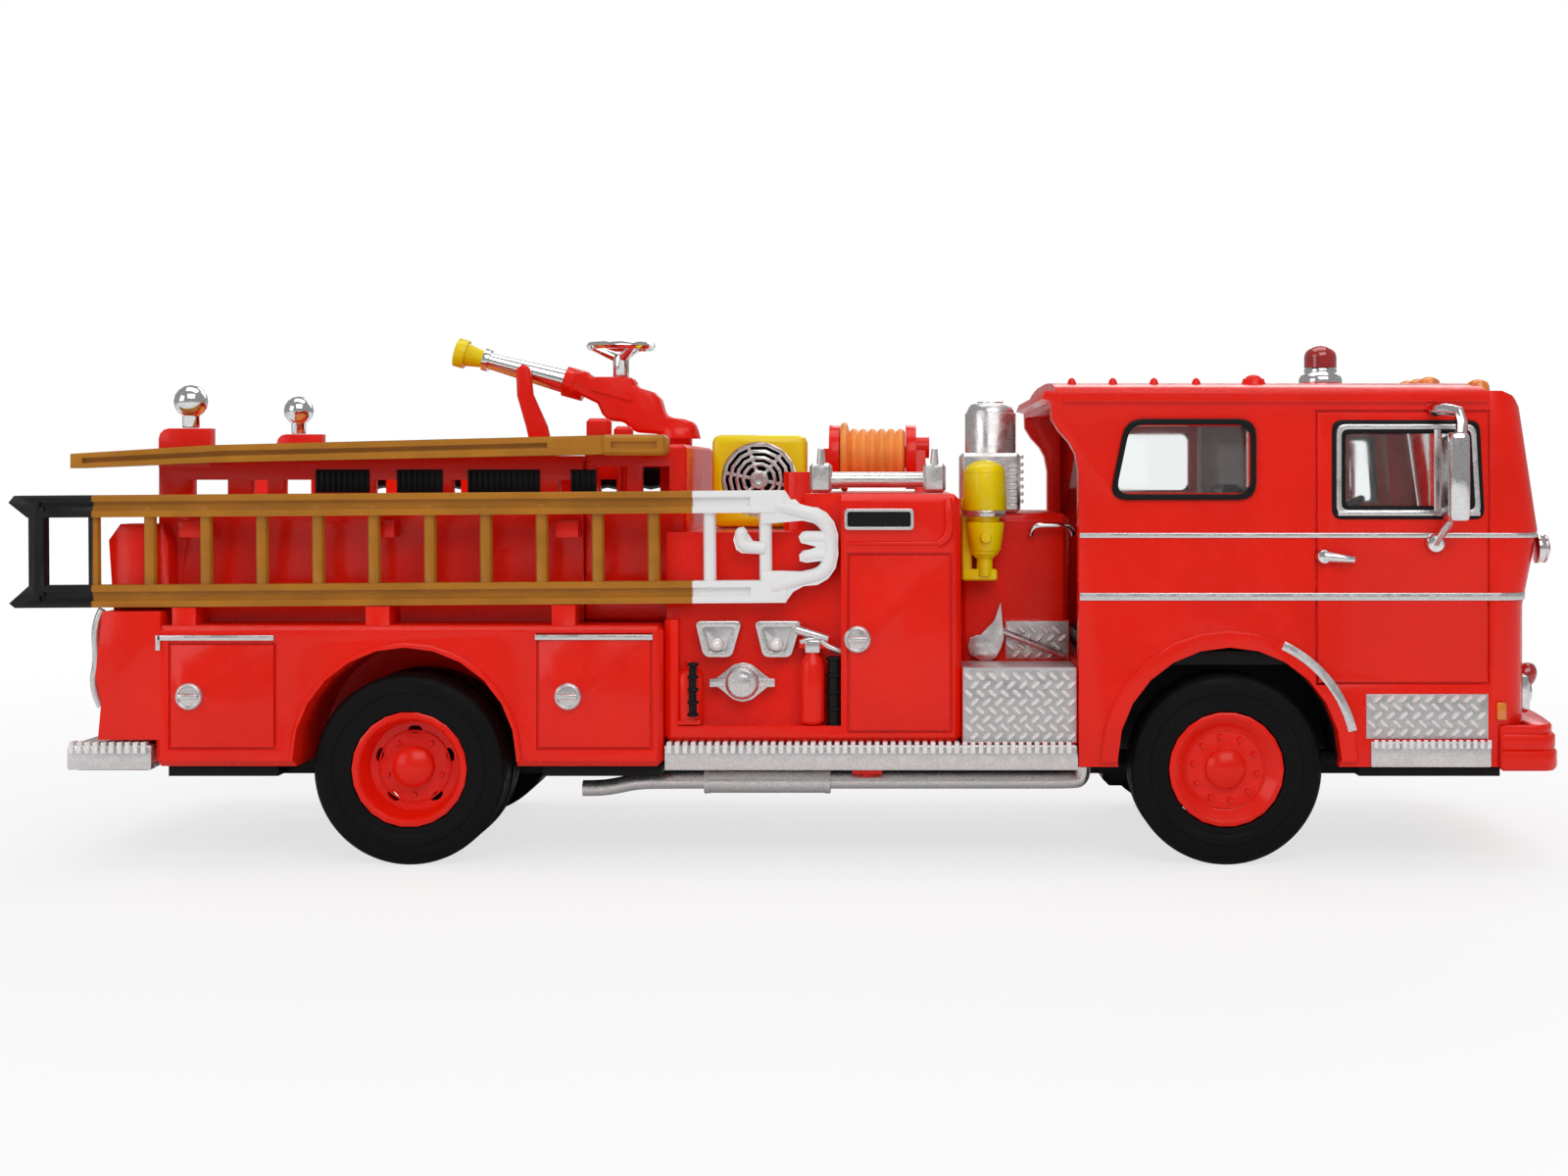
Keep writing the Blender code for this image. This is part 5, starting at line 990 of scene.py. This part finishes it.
def house_fittings(side, key):
    """Tail rail, blank nameplate, corner moulding and discharge flange."""
    rail = [(x, side * TAIL_FACE, z) for x, z in TAIL_RAIL]
    piece(f"tail_rail_{key}", [pipe(rail, 0.36)], "silver_paint")
    border = frame_piece(PLATE_BORDER, proud(side, HOUSE_FACE, 0, 0.42))
    piece(f"plate_border_{key}", [border], "silver_paint")
    blank = block((4.6, 10.1), proud(side, HOUSE_FACE, 0, 0.3), (28.95, 30.35), 0.05)
    piece(f"blank_plate_{key}", [blank], "black_plastic")
    ledge = pin((4.6, side * 18.35, 27.6), (12.6, side * 18.35, 27.6), 0.2)
    moulding = pipe([(x, side * y, z) for x, y, z in CORNER_MOULDING], 0.4)
    piece(f"corner_moulding_{key}", [moulding, ledge], "red_enamel")
    flange = flat_piece(rounded(FLANGE, 0.2, 2), proud(side, PANEL_FACE, SKIN, 0.45))
    piece(f"discharge_flange_{key}", [flange], "silver_paint")


# X, Y and foot of each extinguisher's black hose, its length and its radius
EXTINGUISHER_HOSES = ((-8.5, -18.6, 13.0, 4.3, 0.32), (3.5, -17.5, 12.0, 5.7, 0.55))
TANK_X, TANK_Y, TANK_RADIUS = -8.95, -17.2, 1.25

EXHAUST_Y, EXHAUST_Z = -14.2, 6.75
EXHAUST_ROUTE = (
    (-18.5, 6.1), (-17.0, 6.1), (-15.6, 6.3), (-13.8, 6.7), (-11.0, EXHAUST_Z),
    (0.0, EXHAUST_Z), (20.0, EXHAUST_Z), (24.0, EXHAUST_Z), (25.1, 6.9), (25.1, 8.0),
)
SILENCER = (-7.8, 2.9)
SILENCER_BANDS = (-7.9, 2.6)

# X of both ends of each slot in the bed's rail
SLOTS = ((-41.9, -37.2), (-34.8, -30.8), (-28.6, -22.3), (-19.6, -17.4))
RIB_PITCH = 0.5


def extinguishers():
    """The rear tank, both black hoses and the front one's valve."""
    tank = [
        upright(TANK_X, TANK_Y, 12.25, 16.2, TANK_RADIUS),
        dome((TANK_X, TANK_Y, 16.15), UP, TANK_RADIUS, 0.8),
        upright(-8.9, -17.45, 16.6, 17.5, 0.35),
        block((-9.95, -7.85), (-18.5, -16.42), (12.1, 12.5), 0.12),
    ]
    piece("rear_extinguisher", tank, "red_enamel", replaces=["extinguisher_a"])
    hoses = []
    for x, y, z, tall, radius in EXTINGUISHER_HOSES:
        hoses.append(pipe([(x, y, z), (x - 0.1, y - 0.1, z + tall * 0.5), (x, y, z + tall)], radius))
        for share in (0.0, 0.25, 0.5, 0.75, 1.0):
            hoses.append(ring((x, y - 0.05, z + share * tall), UP, radius + 0.04, 0.15, 20, 8))
    piece("extinguisher_hoses", hoses, "black_plastic")
    valve = [
        pipe([(0.6, -17.6, 19.1), (2.0, -17.6, 19.6), (3.0, -17.6, 18.6), (4.4, -17.4, 18.2)], 0.28),
        block((1.0, 2.3), (-18.2, -17.2), (18.2, 19.3), 0.15),
        pin((0.2, -17.7, 20.2), (3.0, -17.7, 19.4), 0.42, 0.3),
    ]
    piece("extinguisher_valve", valve, "silver_paint")


def exhaust():
    """The hanger, and the pipe with its silencer between two bands."""
    hanger = [block((5.0, 7.6), (-15.2, -13.6), (7.4, 8.28), 0.15), upright(6.3, -14.3, 6.9, 7.6, 0.5)]
    piece("exhaust_hanger", hanger, "red_enamel")
    line = [pipe([(x, EXHAUST_Y, z) for x, z in EXHAUST_ROUTE], 0.7, sides=8)]
    low, high = [(x, EXHAUST_Y, EXHAUST_Z) for x in SILENCER]
    line.append(pin(low, high, 1.05, edge=0.3, sides=32))
    for x in SILENCER_BANDS:
        line.append(pin((x, EXHAUST_Y, EXHAUST_Z), (x + 0.5, EXHAUST_Y, EXHAUST_Z), 1.1, sides=32))
    piece("exhaust_line", line, "silver_paint", replaces=["exhaust"])


def slot_ribs():
    """Dark ribbed hose, laid on the rail's outer face where its slots are."""
    ribs = []
    for low, high in SLOTS:
        ribs.append(block((low, high), (-14.15, -13.9), (31.9, 33.9), 0.05))
        count = int((high - low) / RIB_PITCH)
        ribs += row_of_blocks(low + 0.05, RIB_PITCH, 0.25, count, (-14.3, -14.0), (32.0, 33.8), 0.08)
    piece("slot_hose_ribs", ribs, "black_plastic")


AIR_SET_X, AIR_SET_Y = 16.65, -11.66
INTAKE_X, INTAKE_Y = 17.375, -7.0


def deck_fittings():
    """The ejector's dark ring, the intake's crown and fins, and the round parts of the breathing set."""
    shroud = pin((-3.7, -3.9, 33.0), (-3.7, -3.7, 33.0), 3.2, sides=48, edge=0.02)
    piece("ejector_shadow_ring", [shroud], "black_plastic")
    crown = [upright(INTAKE_X, INTAKE_Y, 38.9, 39.9, 2.28, 1.75, 32, 0.3)]
    for i in range(7):
        crown.append(block((19.9, 20.25), (-9.3, -4.7), (30.9 + 0.66 * i, 31.25 + 0.66 * i)))
    piece("intake_crown_fins", crown, "silver_paint")
    strap = upright(AIR_SET_X, AIR_SET_Y, 29.75, 30.35, 1.88, sides=32, edge=0.12)
    piece("breathing_set_strap", [strap], "silver_paint")
    regulator = [upright(16.7, AIR_SET_Y, 26.6, 29.3, 1.35, 1.75, 24, 0.25)]
    regulator.append(pin((16.7, -12.6, 27.9), (16.7, -13.5, 27.9), 0.6, 0.45))
    piece("breathing_regulator", regulator, "yellow_paint")
    bottle = [upright(AIR_SET_X, AIR_SET_Y, 30.3, 33.6, 1.95, 1.85, 32, 0.1)]
    bottle.append(dome((AIR_SET_X, AIR_SET_Y, 33.55), UP, 1.85, 1.2))
    piece("breathing_bottle_cap", bottle, "yellow_paint")


HOOK_ORIGIN = (3.9, -17.75, 22.52)
# Round edges of the side ladder's hooked head, as (X, Z) from its tip, and their radius
HOOK_BOW = (
    (-5.4, 8.3), (-3.4, 7.75), (-1.9, 7.45), (-0.95, 6.6), (-0.68, 5.6),
    (-0.68, 4.2), (-0.95, 3.0), (-1.7, 2.3), (-3.4, 2.0), (-5.4, 1.3),
)
HOOK_CORDS = (
    (HOOK_BOW, 0.66),
    (((-0.7, 5.55), (-1.9, 5.6), (-2.85, 5.55)), 0.55),
    (((-0.7, 4.15), (-1.9, 4.1), (-2.8, 3.95)), 0.55),
    (((-6.3, 4.65), (-7.6, 4.7), (-8.35, 5.0), (-8.35, 5.9)), 0.55),
)


def ladder_hooks():
    """Rounded cords along the ladder's bow, its two prongs and its hook, each closed by a dome."""
    cords = []
    x0, y0, z0 = HOOK_ORIGIN
    for path, radius in HOOK_CORDS:
        centre_line = [(x0 + x, y0, z0 + z) for x, z in path]
        cords.append(pipe(centre_line, radius))
        outwards = (path[-1][0] - path[-2][0], 0, path[-1][1] - path[-2][1])
        cords.append(dome(centre_line[-1], outwards, radius, radius))
    piece("ladder_hooks", cords, "white_paint")


class ENGINE_OT_body_trim(bpy.types.Operator):
    """Latches, strips, treads and plates of the body"""

    bl_idname = "engine.body_trim"
    bl_label = "Body trim"

    def execute(self, context):
        for side, key in SIDES:
            for fit in (locker_fittings, board_treads, crew_step_plates, step_brackets, house_fittings):
                fit(side, key)
        for fit in (extinguishers, exhaust, slot_ribs, deck_fittings, ladder_hooks):
            fit()
        return {"FINISHED"}


# The mirror's glass, seen from behind: distance from the middle plane and Z, and its X span
MIRROR_GLASS = ((20.9, 29.9), (23.3, 29.9), (23.3, 36.6), (20.9, 36.6))
MIRROR_GLASS_X = (54.62, 54.75)


class ENGINE_OT_lamp_trim(bpy.types.Operator):
    """Lenses and rims of the lamps and the mirrors' glass"""

    bl_idname = "engine.lamp_trim"
    bl_label = "Lamp trim"

    def execute(self, context):
        for side, key in SIDES:
            low, high = mm_box(f"warning_light_{key}")
            y, z = (low.y + high.y) / 2, (low.z + high.z) / 2
            front = dome((high.x - 0.05, y, z), AHEAD, 1.0, 0.55)
            piece(f"warning_lens_{key}", [front], "ruby_lens")
            rim = ring((high.x, y, z), AHEAD, 1.12, 0.16)
            piece(f"warning_rim_{key}", [rim], "chrome_plating")
            _, high = mm_box(f"headlight_{key}")
            red = dome((high.x - 0.5, side * 14.6, high.z - 0.3), (0.5, 0, 1), 0.95, 1.2)
            piece(f"turn_lens_{key}", [red], "ruby_lens")
            outline = rounded([(side * y, z) for y, z in MIRROR_GLASS], 0.5)
            glass = flat_piece(outline, MIRROR_GLASS_X, "YZ")
            piece(f"mirror_glass_{key}", [glass], "steel_wire")
        return {"FINISHED"}


class ENGINE_OT_stage(bpy.types.Operator):
    """Floor, light and the photograph's camera"""

    bl_idname = "engine.stage"
    bl_label = "Stage"

    def execute(self, context):
        bpy.context.scene.view_settings.view_transform = "Standard"
        make_floor()
        make_world()
        make_lamps()
        make_camera()
        return {"FINISHED"}


WHITE = (1.0, 1.0, 1.0)
FLOOR_GREY = (0.86, 0.86, 0.86)
FLOOR_HALF = 6.0
# Distance over which the floor fades to the background, in metres, and its share of white there
FADE_START, FADE_END = 0.06, 0.22
FADE_SHARE = 0.72
AIR_STRENGTH = 0.33


def seen_straight(tree):
    """1 where the camera looks at a surface itself or through glass, and 0 elsewhere."""
    path = add(tree, "LightPath").outputs
    rays = {0: path["Is Camera Ray"], 1: path["Is Transmission Ray"]}
    return add(tree, "Math", rays, operation="MAXIMUM").outputs[0]


def blend_shaders(tree, share, lit, white, output):
    """Shows white where share is 1 and the lit shader where it is 0."""
    blend = add(tree, "MixShader", {0: share, 1: lit.outputs[0], 2: white.outputs[0]})
    put(tree.nodes[output], {"Surface": blend.outputs[0]})


def make_floor():
    """A pale floor that fades to white away from the model."""
    deselect()
    bpy.ops.mesh.primitive_plane_add(size=2 * FLOOR_HALF, location=(0, 0, 0))
    floor = bpy.context.object
    floor.name = "studio_floor"
    made, tree, shader = new_material("white_sweep")
    put(shader, {"Base Color": FLOOR_GREY, "Roughness": 0.6, "Specular IOR Level": 0.1})
    glow = add(tree, "Emission", {"Color": WHITE, "Strength": 1.0})
    place = add(tree, "TexCoord").outputs["Object"]
    reach = add(tree, "VectorMath", {0: place}, operation="LENGTH").outputs["Value"]
    fade = ramp(tree, reach, FADE_SHARE, 1.0, FADE_START, FADE_END)
    share = add(tree, "Math", {0: seen_straight(tree), 1: fade}, operation="MULTIPLY")
    blend_shaders(tree, share.outputs[0], shader, glow, "Material Output")
    floor.data.materials.append(made)


def make_world():
    """Dim light from all round, with plain white where the camera looks past the model."""
    world = bpy.data.worlds.new("studio_air")
    bpy.context.scene.world = world
    world.use_nodes = True
    tree = world.node_tree
    sky = tree.nodes["Background"]
    put(sky, {"Color": WHITE, "Strength": AIR_STRENGTH})
    white = add(tree, "Background", {"Color": WHITE, "Strength": 1.0})
    blend_shaders(tree, seen_straight(tree), sky, white, "World Output")


# Lamps of the studio: name, place, size, aim and power, in metres and watts
LAMPS = (
    ("key_box", (0.10, -0.42, 0.38), (0.45, 0.30), (0.0, 0.0, 0.02), 1.15),
    ("top_box", (0.0, 0.05, 0.50), (0.50, 0.30), (0.0, 0.0, 0.02), 0.95),
    ("fill_box", (-0.38, -0.30, 0.18), (0.25, 0.25), (0.0, 0.0, 0.02), 0.35),
    ("back_box", (0.15, 0.45, 0.30), (0.40, 0.25), (0.0, 0.0, 0.02), 0.7),
)


def make_lamps():
    """Soft boxes aimed at the model."""
    for name, place, size, aim, power in LAMPS:
        lamp = bpy.data.lights.new(name, "AREA")
        lamp.shape = "RECTANGLE"
        lamp.size, lamp.size_y = size
        lamp.energy = power
        obj = linked(name, lamp)
        obj.location = place
        obj.rotation_mode = "QUATERNION"
        obj.rotation_quaternion = (Vector(aim) - Vector(place)).to_track_quat("-Z", "Y")


# The camera's place in metres, and its lens and sensor in millimetres
CAMERA_X = 0.00835
CAMERA_BACK = 0.200
CAMERA_Z = 0.0334
LENS = 48.87
SENSOR_WIDTH = 36.0
# The photograph's width, the point straight ahead of the camera and the frame's middle, in pixels
PHOTO_WIDTH = 1600
VIEW_CENTRE_PX = (909, 485)
PHOTO_MIDDLE_PX = (800, 600)


def make_camera():
    """The photograph's pinhole camera."""
    data = bpy.data.cameras.new("photo_camera")
    data.lens = LENS
    data.sensor_width = SENSOR_WIDTH
    data.clip_start = 0.01
    data.shift_x = (PHOTO_MIDDLE_PX[0] - VIEW_CENTRE_PX[0]) / PHOTO_WIDTH
    data.shift_y = (VIEW_CENTRE_PX[1] - PHOTO_MIDDLE_PX[1]) / PHOTO_WIDTH
    camera = linked("photo_camera", data)
    camera.location = (CAMERA_X, -CAMERA_BACK, CAMERA_Z)
    camera.rotation_euler = (math.pi / 2, 0, 0)
    bpy.context.scene.camera = camera


CLASSES = [
    EngineColours, EngineSizes, ENGINE_OT_stage, ENGINE_OT_castings, ENGINE_OT_wheels,
    ENGINE_OT_cab_trim, ENGINE_OT_body_trim, ENGINE_OT_lamp_trim,
]
STEPS = ("stage", "castings", "wheels", "cab_trim", "body_trim", "lamp_trim")


class ENGINE_PT_panel(bpy.types.Panel):
    """Lists the steps of the finish"""

    bl_idname = "ENGINE_PT_panel"
    bl_label = "Fire Engine"
    bl_space_type = "VIEW_3D"
    bl_region_type = "UI"
    bl_category = "Fire Engine"

    def draw(self, context):
        for step in STEPS:
            self.layout.operator("engine." + step)
        for group in (context.scene.engine_sizes, context.scene.engine_colours):
            for key in group.__annotations__:
                self.layout.prop(group, key)


def register():
    for item in CLASSES:
        bpy.utils.register_class(item)
    bpy.utils.register_class(ENGINE_PT_panel)
    bpy.types.Scene.engine_colours = PointerProperty(type=EngineColours)
    bpy.types.Scene.engine_sizes = PointerProperty(type=EngineSizes)


def unregister():
    del bpy.types.Scene.engine_sizes
    del bpy.types.Scene.engine_colours
    bpy.utils.unregister_class(ENGINE_PT_panel)
    for item in reversed(CLASSES):
        bpy.utils.unregister_class(item)


def main():
    register()
    for step in STEPS:
        getattr(bpy.ops.engine, step)()


if __name__ == "__main__":
    main()
